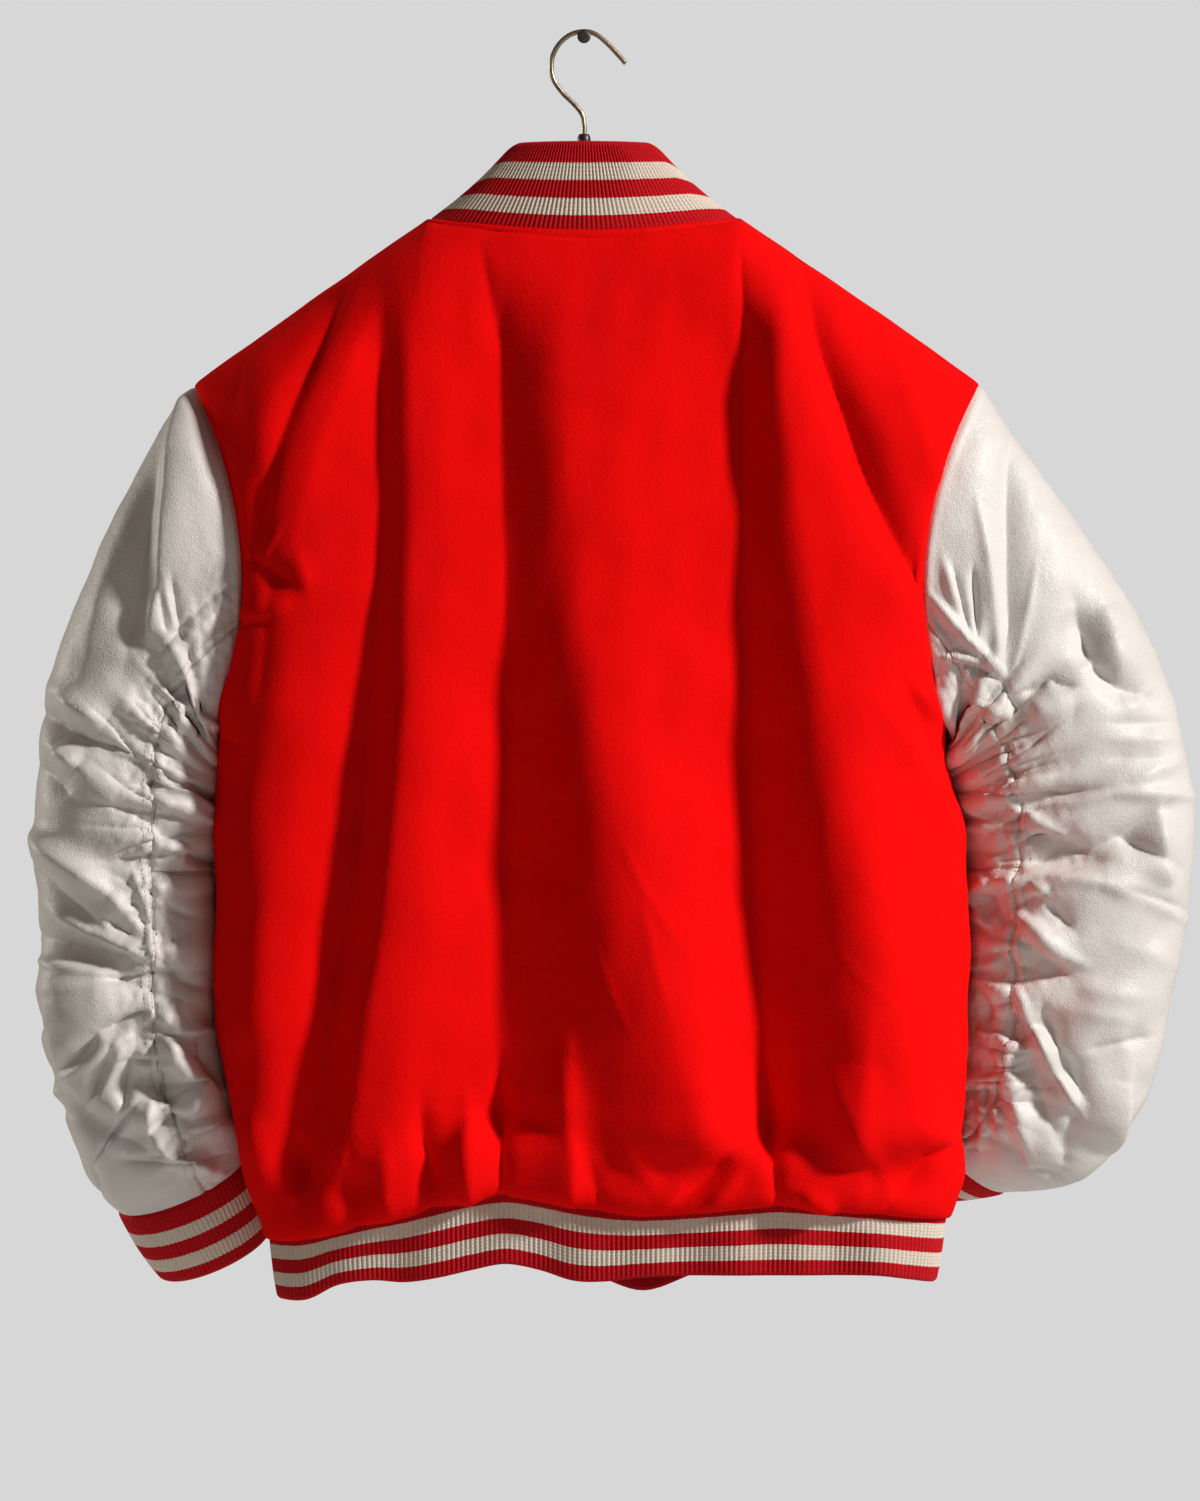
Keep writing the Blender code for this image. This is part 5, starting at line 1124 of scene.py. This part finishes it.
def sleevePoints(side, angle, place, folds=True):
    # the tube's surface at columns of angle and rows of place
    angle = driftedAngle(side, angle, place)
    outX, outZ, inX, inZ, midY, depth, bow, lean = np.moveaxis(throughRows(sleeveTables[side], place), -1, 0)
    cosine, sine = np.cos(np.radians(angle)), np.sin(np.radians(angle))
    halfX, halfZ = (outX - inX) / 2.0, (outZ - inZ) / 2.0
    down = unit(np.stack([side * halfZ, 0.0 * halfZ, -side * halfX], axis=-1))
    x = (outX + inX) / 2.0 + halfX * cosine + bow * sine * sine
    z = (outZ + inZ) / 2.0 + halfZ * cosine
    flat = lerp(1.0, sleeves["flat"][side], ease(place / 0.8) * ease((sleeves["lastRow"] - place) / 2.0))
    height = sine / (np.abs(sine) + (1.0 - np.abs(sine)) * flat)
    points = np.stack([x, midY - depth * height, z], axis=-1) + down * (lean * sine)[..., None]
    if folds:
        outward = unit(np.stack([halfX * cosine, -depth * sine, halfZ * cosine], axis=-1))
        points = points + outward * sleeveFoldAt(side, angle, place)[..., None]
    return points


def sleeveEnd(side):
    ends = sleevePoints(side, np.array([0.0, 180.0, 90.0]), np.full(3, sleeves["lastRow"]))
    middle = (ends[0] + ends[1]) / 2.0
    axis = unit(np.cross(ends[0] - middle, ends[2] - middle))
    return middle, axis if axis[2] < 0.0 else -axis


pleats = {  # first and last place along the sleeve, and the ranges that each pleat is drawn from
    "first": 0.115, "last": 0.545, "slope": (-0.45, 0.45), "width": (0.0018, 0.0036), "reach": (0.014, 0.036),
    "relief": (0.0018, 0.0046), "shift": (-0.010, 0.010), "apart": (0.006, 0.014),
}


def gathers(side, angle, place, seed):
    # short tight pleats across each seam, in metres along and round the sleeve
    draw = np.random.RandomState(seed)
    along = place * sleeves["rowLength"]
    total = np.zeros_like(along)
    for seamAngle in (sleeves["drift"][side], 360.0 - sleeves["drift"][side]):
        turn = np.mod(driftedAngle(side, angle, place) - seamAngle + 180.0, 360.0) - 180.0
        around = turn * sleeves["degreeLength"]
        at = pleats["first"]
        while at < pleats["last"]:
            slope, width, reach, relief, shift = [
                draw.uniform(*pleats[key]) for key in ("slope", "width", "reach", "relief", "shift")]
            off = (along - at - slope * around) / width
            near = np.exp(-((around - shift) / reach) ** 2)
            total -= relief * near * np.exp(-np.abs(off) ** 1.3)
            at += draw.uniform(*pleats["apart"])
    return total


def sleeveRelief(side, base, angle, place):
    turned = driftedAngle(side, angle, place)
    back = ease(0.5 + np.sin(np.radians(turned)) * 2.2)
    seen = creaseField(base[..., 0], base[..., 2], sleeveCreases[side])
    hidden = creaseField(base[..., 0], base[..., 2], hiddenCreases[side])
    relief = (seen * back + hidden * (1.0 - back)) * sleeves["creaseGain"]
    pleated = ease((place - 2.0) / 1.5) * ease((sleeves["lastRow"] - place) / 1.5)
    relief += gathers(side, angle, place, 40 + side) * pleated
    relief += ripples(base, 50 + side, 26, 0.012, 0.060, 0.0007)
    for middle in (sleeves["drift"][side], 360.0 - sleeves["drift"][side]):
        aside = (np.mod(turned - middle + 180.0, 360.0) - 180.0) * sleeves["degreeLength"]
        relief += ripples(base, 60 + side, 22, 0.005, 0.016, 0.0012) * np.exp(-(aside / 0.028) ** 2)
    under = np.exp(-((turned - 180.0) / 40.0) ** 2 - ((base[..., 2] + 0.535) / 0.030) ** 2)
    relief += 0.007 * under  # the underarm rests against the body
    ends = ease(place / 0.5) * ease((sleeves["lastRow"] - place) / 0.4)
    return relief * ends


def sleevePiece(name, side, angles, firstPlace, lastPlace, borders, finishes):
    count = round((lastPlace - firstPlace) * sleeves["rowLength"] / sleeves["step"])
    places = np.linspace(firstPlace, lastPlace, count + 1)
    pinches = np.array(rimPinches) / sleeves["rowLength"]
    places = np.array(sorted(set(places) | set(firstPlace + pinches) | set(lastPlace - pinches)))
    before = angles[:1] - (angles[2] - angles[1])
    after = angles[-1:] + (angles[2] - angles[1])
    angle, place = np.meshgrid(np.concatenate([before, angles, after]), places)
    base = sleevePoints(side, angle, place)
    ways = gridWays(base) * side
    relief = sleeveRelief(side, base, angle, place)
    near = edgeDistances(base[:, 1:-1])
    _, seam = seamProfile(near, borders, sleeves["half"])
    seam = np.pad(seam, ((0, 0), (1, 1)), mode="edge")
    relief += groove(seam, 0.0, 0.0026, 0.0011) + groove(seam, 0.0045, 0.0035, -0.0005)
    grid = base + ways * relief[..., None]
    smooth, smoothWays = base[:, 1:-1], ways[:, 1:-1]
    ways = (gridWays(grid) * side)[:, 1:-1]
    grid, relief = grid[:, 1:-1], relief[:, 1:-1]
    if firstPlace == 0.0:
        ring = np.mod(angles, 360.0)
        shared = ringWay(side, np.minimum(ring, 360.0 - ring))
        shared[:, 1] *= np.where(ring > 180.0, -1.0, 1.0)
        ways = unit(lerp(shared[None], ways, ease(near["low"] / seamTurn)[..., None]))
    if lastPlace == sleeves["lastRow"]:
        middle, axis = sleeveEnd(side)
        held = unit(unit(grid[-1] - middle) + axis * sleeves["cuffLean"])
        ways = unit(lerp(held[None], ways, ease(near["top"] / seamTurn)[..., None]))
    half, closest = seamProfile(near, ["left", "right", "low", "top"], sleeves["half"])
    inside = linedSkin(grid, ways, half + 0.0003, smooth, smoothWays, relief, 4, closest)
    piece = wallPiece(name, grid + ways * half[..., None], inside, arcUvs(grid), finishes)
    print(name, len(piece.data.polygons), "faces")
    return piece, grid, ways


def panelAngles(inner):
    seam = sleeves["seamAngle"]
    low, high = (seam, 360.0 - seam) if inner else (-seam, seam)
    count = round((high - low) * 0.00125 / sleeves["step"])
    even = np.linspace(low, high, count + 1)
    return np.array(sorted(set(even) | {low + 0.6, low + 1.5, high - 0.6, high - 1.5}))


# rib bands

ribKnit = {"pitch": 0.0035, "relief": 0.0011, "roundness": 0.6, "half": 0.0012, "rows": 14}
collar = {"halfWidth": 0.058, "backDepth": 0.036, "frontDepth": 0.050, "backZ": -0.078, "sideDrop": 0.029,
          "dropStart": 0.41, "dropRound": 0.03, "frontDrop": 0.023, "lean": 0.25, "bulge": -0.0006,
          "stripes": ((0.175, 0.365), (0.565, 0.757))}
hem = {"height": 0.057, "pullIn": 0.0070, "bulge": 0.0010, "stripes": ((0.20, 0.40), (0.60, 0.795)),
       "waves": ((0.0016, 62.0, 0.6), (0.0012, 118.0, 1.9))}  # height, turns, start
cuffs = {
    "length": 0.062, "taper": 0.84, "bulge": 0.0022, "stripes": ((0.24, 0.42), (0.62, 0.81)),
    "swing": {-1: (0.0, 0.0, 0.0), 1: (-0.40, 0.32, 0.35)},
}


def bandPiece(name, near, far, nearWays, farWays, closed, bulge, finish, maker, waves=None):
    # a rib band between two lines, its ribs running from one to the other
    length = float(stepLengths(near).sum())
    ribs = round(length / ribKnit["pitch"])
    steps = np.linspace(0.0, length, ribs * 4 + 1)
    run = np.concatenate([[0.0], np.cumsum(stepLengths(near))])

    def even(line):
        return np.stack([np.interp(steps, run, line[:, k]) for k in range(3)], axis=-1)

    near, far, nearWays, farWays = even(near), even(far), even(nearWays), even(farWays)
    if closed:
        near, far, nearWays, farWays = near[:-1], far[:-1], nearWays[:-1], farWays[:-1]
        steps = steps[:-1]
    shares = np.array(sorted(set(np.linspace(0.0, 1.0, ribKnit["rows"] + 1)) | {0.015, 0.04, 0.96, 0.985}))
    t = shares[:, None, None]
    ways = unit(lerp(nearWays[None], farWays[None], t))
    grid = lerp(near[None], far[None], t) + ways * (bulge * 4.0 * t * (1.0 - t))
    if waves is not None:
        grid = grid + ways * waves(grid, shares)[..., None]
    uv = np.stack(np.broadcast_arrays(steps[None, :], shares[:, None]), axis=-1)
    edge = np.minimum(shares, 1.0 - shares) * float(np.linalg.norm(far - near, axis=1).mean())
    t = np.clip(edge / 0.0022, 0.0, 1.0)
    half = ribKnit["half"] * (0.35 + 0.65 * np.sqrt(1.0 - (1.0 - t) ** 2))[:, None] * np.ones(len(steps))
    phase = np.broadcast_to(steps[None, :] / ribKnit["pitch"] * (ribs * ribKnit["pitch"] / length), half.shape)
    strength = np.broadcast_to(ease(edge / 0.003)[:, None], half.shape)
    out = ways * half[..., None]
    base = wallPiece(name + "Base", grid + out, grid - out, uv, [finish], closed,
                     {"ribPhase": phase, "ribStrength": strength})
    piece = runNodes(maker, base, name, {"Relief": ribKnit["relief"], "Roundness": ribKnit["roundness"],
                                         "Material": finish})
    print(name, len(piece.data.polygons), "faces,", ribs, "ribs")
    return piece


def collarLines(tops):
    # the seam and the free edge, from the left front round the back
    seam, edge, seamWays, edgeWays = [], [], [], []
    for side, points, angles in tops:
        way = neckWay(angles)
        turn = np.radians(angles)
        cosine = np.cos(turn)
        depth = np.where(cosine > 0.0, collar["backDepth"], collar["frontDepth"])
        past = 1.0 - cosine - collar["dropStart"]
        drop = collar["sideDrop"] * (past + np.hypot(past, collar["dropRound"])) / 2.0
        drop = drop + collar["frontDrop"] * np.maximum(-cosine, 0.0) ** 2
        top = np.stack([collar["halfWidth"] * np.sin(turn), -depth * cosine, collar["backZ"] - drop], axis=-1)
        top[:, 1] += lapOffset(side, points[:, 0], body["lapStep"])
        climb = top - points
        climb = unit(climb - way * np.sum(climb * way, axis=1, keepdims=True))
        seam.append(points + climb * 0.0003)
        seamWays.append(way)
        edge.append(top)
        edgeWays.append(unit(np.stack([np.sin(turn), -cosine, turn * 0.0 + collar["lean"]], axis=-1)))
    return [np.concatenate(part) for part in (seam, edge, seamWays, edgeWays)]


def hemLines(rows):
    points = np.concatenate(rows)
    along = np.gradient(points, axis=0)
    out = unit(np.stack([along[:, 1], -along[:, 0], 0.0 * along[:, 0]], axis=-1))
    drop, swell = curlTable[0][:2]
    lean = hem["pullIn"] * -drop / hem["height"]
    base = points - out * (swell - lean)
    base[:, 2] -= drop
    low = base - out * hem["pullIn"]
    share = ease(0.5 - points[:, 1] / 0.04)
    low[:, 2] = lerp(hemLineZ(points[:, 0], False, 1), hemLineZ(points[:, 0], True, 1), share)
    return base, low, out


def cuffLines(side):
    middle, axis = sleeveEnd(side)
    angles = np.linspace(0.0, 360.0, 121)
    points = sleevePoints(side, angles, np.full(121, sleeves["lastRow"]))
    radial = points - middle
    way = unit(unit(radial) + axis * sleeves["cuffLean"])
    apart = unit(axis - way * (way @ axis)[:, None])
    along = unit(axis + np.array(cuffs["swing"][side]))
    far = middle + radial * cuffs["taper"] + along * cuffs["length"]
    return points + apart * 0.0003, far, way, unit(radial)


# build the cloth

wool, leather, lining = woolFinish(), leatherFinish(), liningFinish()
ribs = ribMaker()
stitches = stitchMaker()

backPiece, backGrid, backWays, backAngles, backNeck = torsoPiece("woolBack", True, 0, [wool, lining])
leftPiece, leftGrid, leftWays, leftAngles, leftNeck = torsoPiece("woolFrontLeft", False, -1, [wool, lining])
rightPiece, rightGrid, rightWays, rightAngles, rightNeck = torsoPiece("woolFrontRight", False, 1, [wool, lining])
print("body done")

sleevePieces = {}
for side, word in ((-1, "Left"), (1, "Right")):
    split, lastRow = sleeves["split"], sleeves["lastRow"]
    for part, inner, low, high, borders in (
            ("Outer", False, 0.0, lastRow, ["left", "right", "low"]),
            ("InnerUpper", True, 0.0, split, ["left", "right", "low", "top"]),
            ("InnerLower", True, split, lastRow, ["left", "right", "low"])):
        name = "sleeve" + word + part
        sleevePieces[name] = sleevePiece(name, side, panelAngles(inner), low, high, borders, [leather, lining])
print("sleeves done")


def neckPart(side, grid, angles, inNeck):
    keep = np.nonzero(inNeck)[0]
    if side < 0:
        keep = keep[::-1]
    return side, grid[-1, keep], angles[keep]


collarFinish = ribFinish("collar rib", collar["stripes"])
collarPiece = bandPiece("collarRib", *collarLines([neckPart(-1, leftGrid, leftAngles, leftNeck),
                                                   neckPart(0, backGrid, backAngles, backNeck),
                                                   neckPart(1, rightGrid, rightAngles, rightNeck)]),
                        False, collar["bulge"], collarFinish, ribs)


def plainHemRow(back, side, grid):
    # the hem seam without the wool's own puckers
    rise, swell, lapSwell = curlTable[0]
    x = grid[0, :, 0]
    left, right = sidePoint(-1, "curl", 0)[0], sidePoint(1, "curl", 0)[0]
    across = np.clip(2.0 * (x - left) / (right - left) - 1.0, -1.0, 1.0)
    fullness = (1.0 - np.abs(across) ** body["sectionPower"]) ** body["sectionRound"]
    depth = (body["hemBackDepth"] if back else body["hemFrontDepth"]) + swell
    y = (-1.0 if back else 1.0) * depth * fullness + lapOffset(side, x, body["lapStepHem"])
    return np.stack([x, y, hemSeamZ(x, back) + rise], axis=-1)


def hemWaves(grid, shares):
    # gentle waves that grow towards the free edge
    x = grid[..., 0]
    wave = sum(height * np.sin(x * turns + start) for height, turns, start in hem["waves"])
    return wave * ease(shares * 1.6)[:, None]


hemFinish = ribFinish("hem rib", hem["stripes"])
hemBase, hemLow, hemOut = hemLines([plainHemRow(False, -1, leftGrid)[::-1], plainHemRow(True, 0, backGrid),
                                    plainHemRow(False, 1, rightGrid)])
hemPiece = bandPiece("hemRib", hemBase, hemLow, hemOut, hemOut, False, hem["bulge"], hemFinish, ribs, hemWaves)

cuffFinish = ribFinish("cuff rib", cuffs["stripes"])
cuffPieces = {}
for side, word in ((-1, "Left"), (1, "Right")):
    cuffPieces[side] = bandPiece("cuff" + word, *cuffLines(side), True, cuffs["bulge"], cuffFinish, ribs)
print("ribbing done")

# hanger, hook and nail

hanger = {"crestZ": -0.1005, "bend": 2.816, "bendEnd": 0.125, "tip": 0.218, "halfThick": 0.007,
          "halfHeight": 0.012, "seat": 0.0006, "knobRadius": 0.0048, "knobTop": -0.070,
          "steps": 72, "sides": 24}
hook = {"radius": 0.0018, "sides": 20, "route": (
    (0.0300, -0.0190), (0.0225, -0.0105), (0.0150, -0.0030), (0.0080, 0.0022), (0.0000, 0.0040),
    (-0.0095, 0.0018), (-0.0180, -0.0052), (-0.0232, -0.0160), (-0.0225, -0.0290), (-0.0160, -0.0395),
    (-0.0075, -0.0480), (-0.0015, -0.0555), (0.0000, -0.0640), (0.0000, -0.0697))}
nail = {"radius": 0.0017, "head": 0.0048, "headY": -0.0026, "wallY": 0.018}


def hangerTop(x):
    if abs(x) < hanger["bendEnd"]:
        return hanger["crestZ"] - hanger["bend"] * x * x
    tip = body["shoulder"][-1 if x < 0.0 else 1]
    slope = (tip[1] - body["neckZ"]) / (abs(tip[0]) - body["neckHalf"])
    ridge = body["neckZ"] + slope * (abs(x) - body["neckHalf"])
    return ridge - body["half"] / shoulderWay(1)[2] - hanger["seat"]


def hangerPiece(finish):
    steps, sides = hanger["steps"], hanger["sides"]
    points = []
    for k in range(steps + 1):
        x = lerp(-hanger["tip"], hanger["tip"], k / steps)
        size = lerp(0.65, 1.0, float(ease((hanger["tip"] - abs(x)) / 0.014)))
        high, thick = hanger["halfHeight"] * size, hanger["halfThick"] * size
        for m in range(sides):
            turn = 2.0 * math.pi * m / sides
            points.append((x, thick * math.sin(turn), hangerTop(x) - high + high * math.cos(turn)))
    faces = []
    for k in range(steps):
        for m in range(sides):
            a, b, after = k * sides, (k + 1) * sides, (m + 1) % sides
            faces.append([a + m, b + m, b + after, a + after])
    faces.append(list(range(sides)))
    faces.append([steps * sides + m for m in reversed(range(sides))])
    piece = meshObject("hangerBar", points, faces, [finish])
    piece.data.set_sharp_from_angle(angle=math.radians(50.0))
    return piece


darkWood = woodFinish()
barPiece = hangerPiece(darkWood)
knobLow = hanger["crestZ"] + 0.0003
knobHeight = hanger["knobTop"] - knobLow
knobProfile = [(r * hanger["knobRadius"], t * knobHeight) for r, t in (
    (0.95, 0.0), (0.97, 0.04), (0.80, 0.16), (0.70, 0.35), (0.72, 0.50), (0.80, 0.60), (0.94, 0.68),
    (1.0, 0.78),
    (1.0, 0.86), (0.93, 0.94), (0.75, 1.0))]
knobPiece = turnedPiece("hangerKnob", knobProfile, (0.0, 0.0, knobLow), (0.0, 0.0, 1.0), darkWood)
agedWire = metalFinish("aged wire", (0.52, 0.45, 0.34), (0.16, 0.12, 0.08), 380.0, 0.26)
route = throughRows([(x, 0.0, z) for x, z in hook["route"]], np.linspace(0.0, len(hook["route"]) - 1.0, 105))
hookPiece = runNodes(wireMaker(), lineBase([route]), "hangerHook",
                     {"Radius": hook["radius"], "Sides": hook["sides"], "Material": agedWire})
nailSteel = metalFinish("nail steel", (0.13, 0.12, 0.11), (0.05, 0.035, 0.028), 700.0, 0.4)
nailLength = nail["wallY"] - nail["headY"]
nailProfile = ((0.0020, -0.0014), (0.0036, -0.0013), (0.0045, -0.0010), (nail["head"], -0.0006),
               (nail["head"], -0.0001), (0.0045, 0.0), (0.0022, 0.0003), (nail["radius"], 0.0008),
               (nail["radius"], nailLength))
nailPiece = turnedPiece("wallNail", nailProfile, (0.0, nail["headY"], 0.0), (0.0, 1.0, 0.0), nailSteel)
print("hanger done")

# snaps

snaps = {"count": 7, "radius": 0.0075, "height": 0.0028, "sides": 28}
snapMetal = metalFinish("snap metal", (0.70, 0.68, 0.65), (0.40, 0.37, 0.34), 500.0, 0.2)
capProfile = [(r * snaps["radius"], h * snaps["height"]) for r, h in (
    (0.80, -0.35), (0.96, -0.15), (1.0, 0.10), (0.99, 0.32), (0.93, 0.48), (0.86, 0.50), (0.82, 0.42),
    (0.76, 0.52),
    (0.62, 0.78), (0.42, 0.92), (0.20, 0.99), (0.04, 1.0))]
cap = turnedPiece("cap", capProfile, (0.0, 0.0, 0.0), (0.0, 0.0, 1.0), snapMetal, snaps["sides"])
spots, spotWays = [], []
for number in range(snaps["count"]):
    low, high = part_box("snap_%d" % (number + 1))
    spots.append(((low.x + high.x) / 2.0, low.y, (low.z + high.z) / 2.0))
    nearest = np.argmin(np.abs(leftGrid[:, -1, 2] - spots[-1][2]))
    way = leftWays[nearest, -4]
    spotWays.append((0.0, way[1], way[2]))
spotMesh = bpy.data.meshes.new("spots")
spotMesh.from_pydata(spots, [], [])
attribute = spotMesh.attributes.new("way", "FLOAT_VECTOR", "POINT")
attribute.data.foreach_set("vector", np.array(spotWays, np.float32).ravel())
spotBase = bpy.data.objects.new("spots", spotMesh)
bpy.context.scene.collection.objects.link(spotBase)
snapPiece = runNodes(snapMaker(), spotBase, "snapCaps", {"Cap": cap, "Material": snapMetal})
bpy.data.objects.remove(cap)
print("snaps done")

# topstitching

sewing = {"pitch": 0.0036, "length": 0.0027, "thread": 0.00055, "neckInset": 0.0086, "lapInset": 0.0100,
          "seamInsets": (0.0022, 0.0072), "pieceInset": 0.0026, "shoulderX": 0.112}


def insetLine(grid, ways, border, distance, lift, keep=None):
    # a polyline on the outer skin, a set distance in from a border
    near = edgeDistances(grid)[border]
    outer = grid + ways * lift
    if border in ("left", "right"):
        rows = range(grid.shape[0])
        sign = 1.0 if border == "left" else -1.0
        line = [[np.interp(sign * distance, sign * near[i], outer[i, :, k]) for k in range(3)] for i in rows]
    else:
        columns = range(grid.shape[1])
        sign = 1.0 if border == "low" else -1.0
        line = [[np.interp(sign * distance, sign * near[:, j], outer[:, j, k]) for k in range(3)] for j in columns]
    line = np.array(line)
    return line if keep is None else line[keep]


def sewn(name, lines, thread):
    values = {"Pitch": sewing["pitch"], "Length": sewing["length"], "Thread": sewing["thread"], "Material": thread}
    return runNodes(stitches, lineBase(lines), name, values)


woolLines = []
for grid, ways, inNeck in ((backGrid, backWays, backNeck), (leftGrid, leftWays, leftNeck),
                           (rightGrid, rightWays, rightNeck)):
    woolLines.append(insetLine(grid, ways, "top", sewing["neckInset"], body["half"] - 0.0001, inNeck))
topX = backGrid[-1, :, 0]
for onShoulder in (topX < -sewing["shoulderX"], topX > sewing["shoulderX"]):
    woolLines.append(insetLine(backGrid, backWays, "top", sewing["neckInset"], body["half"] - 0.0001, onShoulder))
woolLines.append(insetLine(leftGrid, leftWays, "right", sewing["lapInset"], body["half"] + 0.0001)[8:-4])
woolStitches = sewn("woolStitches", woolLines, threadFinish("red thread", (0.50, 0.004, 0.006)))
leatherLines = []
for word in ("Left", "Right"):
    _, grid, ways = sleevePieces["sleeve" + word + "Outer"]
    lift = sleeves["half"] + 0.0002
    for border in ("left", "right"):
        for distance in sewing["seamInsets"]:
            leatherLines.append(insetLine(grid, ways, border, distance, lift)[4:-4])
    for part, border in (("InnerUpper", "top"), ("InnerLower", "low")):
        _, grid, ways = sleevePieces["sleeve" + word + part]
        leatherLines.append(insetLine(grid, ways, border, sewing["pieceInset"], lift)[3:-3])
leatherStitches = sewn("leatherStitches", leatherLines, threadFinish("cream thread", (0.62, 0.57, 0.50)))
print("stitches done", len(woolStitches.data.polygons), len(leatherStitches.data.polygons))

# what each piece stands for

standsFor = (
    (backPiece, "wool", "back_panel"), (leftPiece, "wool", "front_left"), (rightPiece, "wool", "front_right"),
    (collarPiece, "rib", "collar_rib"), (hemPiece, "rib", "hem_rib"),
    (cuffPieces[-1], "rib", "cuff_left"), (cuffPieces[1], "rib", "cuff_right"),
    *((sleevePieces["sleeve" + word + part][0], "leather", "sleeve_" + word.lower() + "_" + ending)
      for word in ("Left", "Right")
      for part, ending in (("Outer", "outer"), ("InnerUpper", "inner_upper"), ("InnerLower", "inner_lower"))),
    (barPiece, "dark_wood", "hanger_bar"), (knobPiece, "dark_wood", "hanger_knob"),
    (hookPiece, "aged_wire", "hanger_hook"), (nailPiece, "nail_steel", "wall_nail"),
)
for piece, slot, node in standsFor:
    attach(piece, "root")
    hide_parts(node)
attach(snapPiece, "root")
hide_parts(*["snap_%d" % (k + 1) for k in range(snaps["count"])])
for piece, slot in ((woolStitches, "wool"), (leatherStitches, "leather")):
    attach(piece, "root")

# floor, light and camera

studio = {"floorZ": -1.75, "floorRadius": 3.0, "air": 0.08, "backdrop": 0.68}
lamps = (  # name, place, target, size, power, colour
    ("key", (5.54, -2.88, 2.75), (0.0, 0.0, -0.45), 0.9, 560.0, (1.0, 0.97, 0.94)),
    ("fill", (-2.6, -2.6, 0.2), (0.0, 0.0, -0.5), 2.2, 3.0, (1.0, 0.86, 0.72)),
    ("rim", (0.4, 2.4, 1.2), (0.0, 0.0, -0.5), 1.6, 6.0, (1.0, 1.0, 1.0)),
    ("edge", (-3.8, 1.6, 0.3), (-0.3, 0.0, -0.5), 1.2, 60.0, (1.0, 0.95, 0.87)),
)
floorTurns = [k * math.pi / 48 for k in range(96)]
floorPoints = [(studio["floorRadius"] * math.cos(turn), studio["floorRadius"] * math.sin(turn), studio["floorZ"])
               for turn in floorTurns]
floorFinish = Finish("floor", Roughness=0.8)
floorTone = floorFinish.noise(3.0)
floorFinish.put(Base_Color=floorFinish.mix(solid(0.74, 0.74, 0.74), solid(0.70, 0.70, 0.70), floorTone))
floor = meshObject("floor", floorPoints, [list(range(96))], [floorFinish.material], smooth=False)


def areaLight(name, place, target, size, power, color):
    light = bpy.data.lights.new(name, "AREA")
    light.shape, light.size, light.energy, light.color = "DISK", size, power, color
    lamp = bpy.data.objects.new(name, light)
    lamp.location = place
    lamp.rotation_euler = (Vector(target) - Vector(place)).to_track_quat("-Z", "Y").to_euler()
    bpy.context.scene.collection.objects.link(lamp)


for lamp in lamps:
    areaLight(*lamp)

world = bpy.data.worlds.new("air")
bpy.context.scene.world = world
world.use_nodes = True
nodes, links = world.node_tree.nodes, world.node_tree.links
nodes.clear()
seenAir, litAir = nodes.new("ShaderNodeBackground"), nodes.new("ShaderNodeBackground")
seenAir.inputs[0].default_value = solid(studio["backdrop"], studio["backdrop"], studio["backdrop"])
litAir.inputs[0].default_value = solid(1.0, 0.80, 0.66)
litAir.inputs[1].default_value = studio["air"]
path, mixAir = nodes.new("ShaderNodeLightPath"), nodes.new("ShaderNodeMixShader")
airOut = nodes.new("ShaderNodeOutputWorld")
links.new(path.outputs["Is Camera Ray"], mixAir.inputs[0])
links.new(litAir.outputs[0], mixAir.inputs[1])
links.new(seenAir.outputs[0], mixAir.inputs[2])
links.new(mixAir.outputs[0], airOut.inputs[0])

camera = {"distance": 5.0, "x": 0.0115, "z": -0.5137, "halfHeight": 0.54036}
lens = bpy.data.cameras.new("camera")
lens.sensor_width = 36.0
lens.lens = 18.0 * camera["distance"] / camera["halfHeight"]
lens.clip_start, lens.clip_end = 0.05, 60.0
eye = bpy.data.objects.new("camera", lens)
eye.location = (camera["x"], -camera["distance"], camera["z"])
eye.rotation_euler = (math.radians(90.0), 0.0, 0.0)
bpy.context.scene.collection.objects.link(eye)
bpy.context.scene.camera = eye
bpy.context.scene.view_settings.view_transform = "Standard"
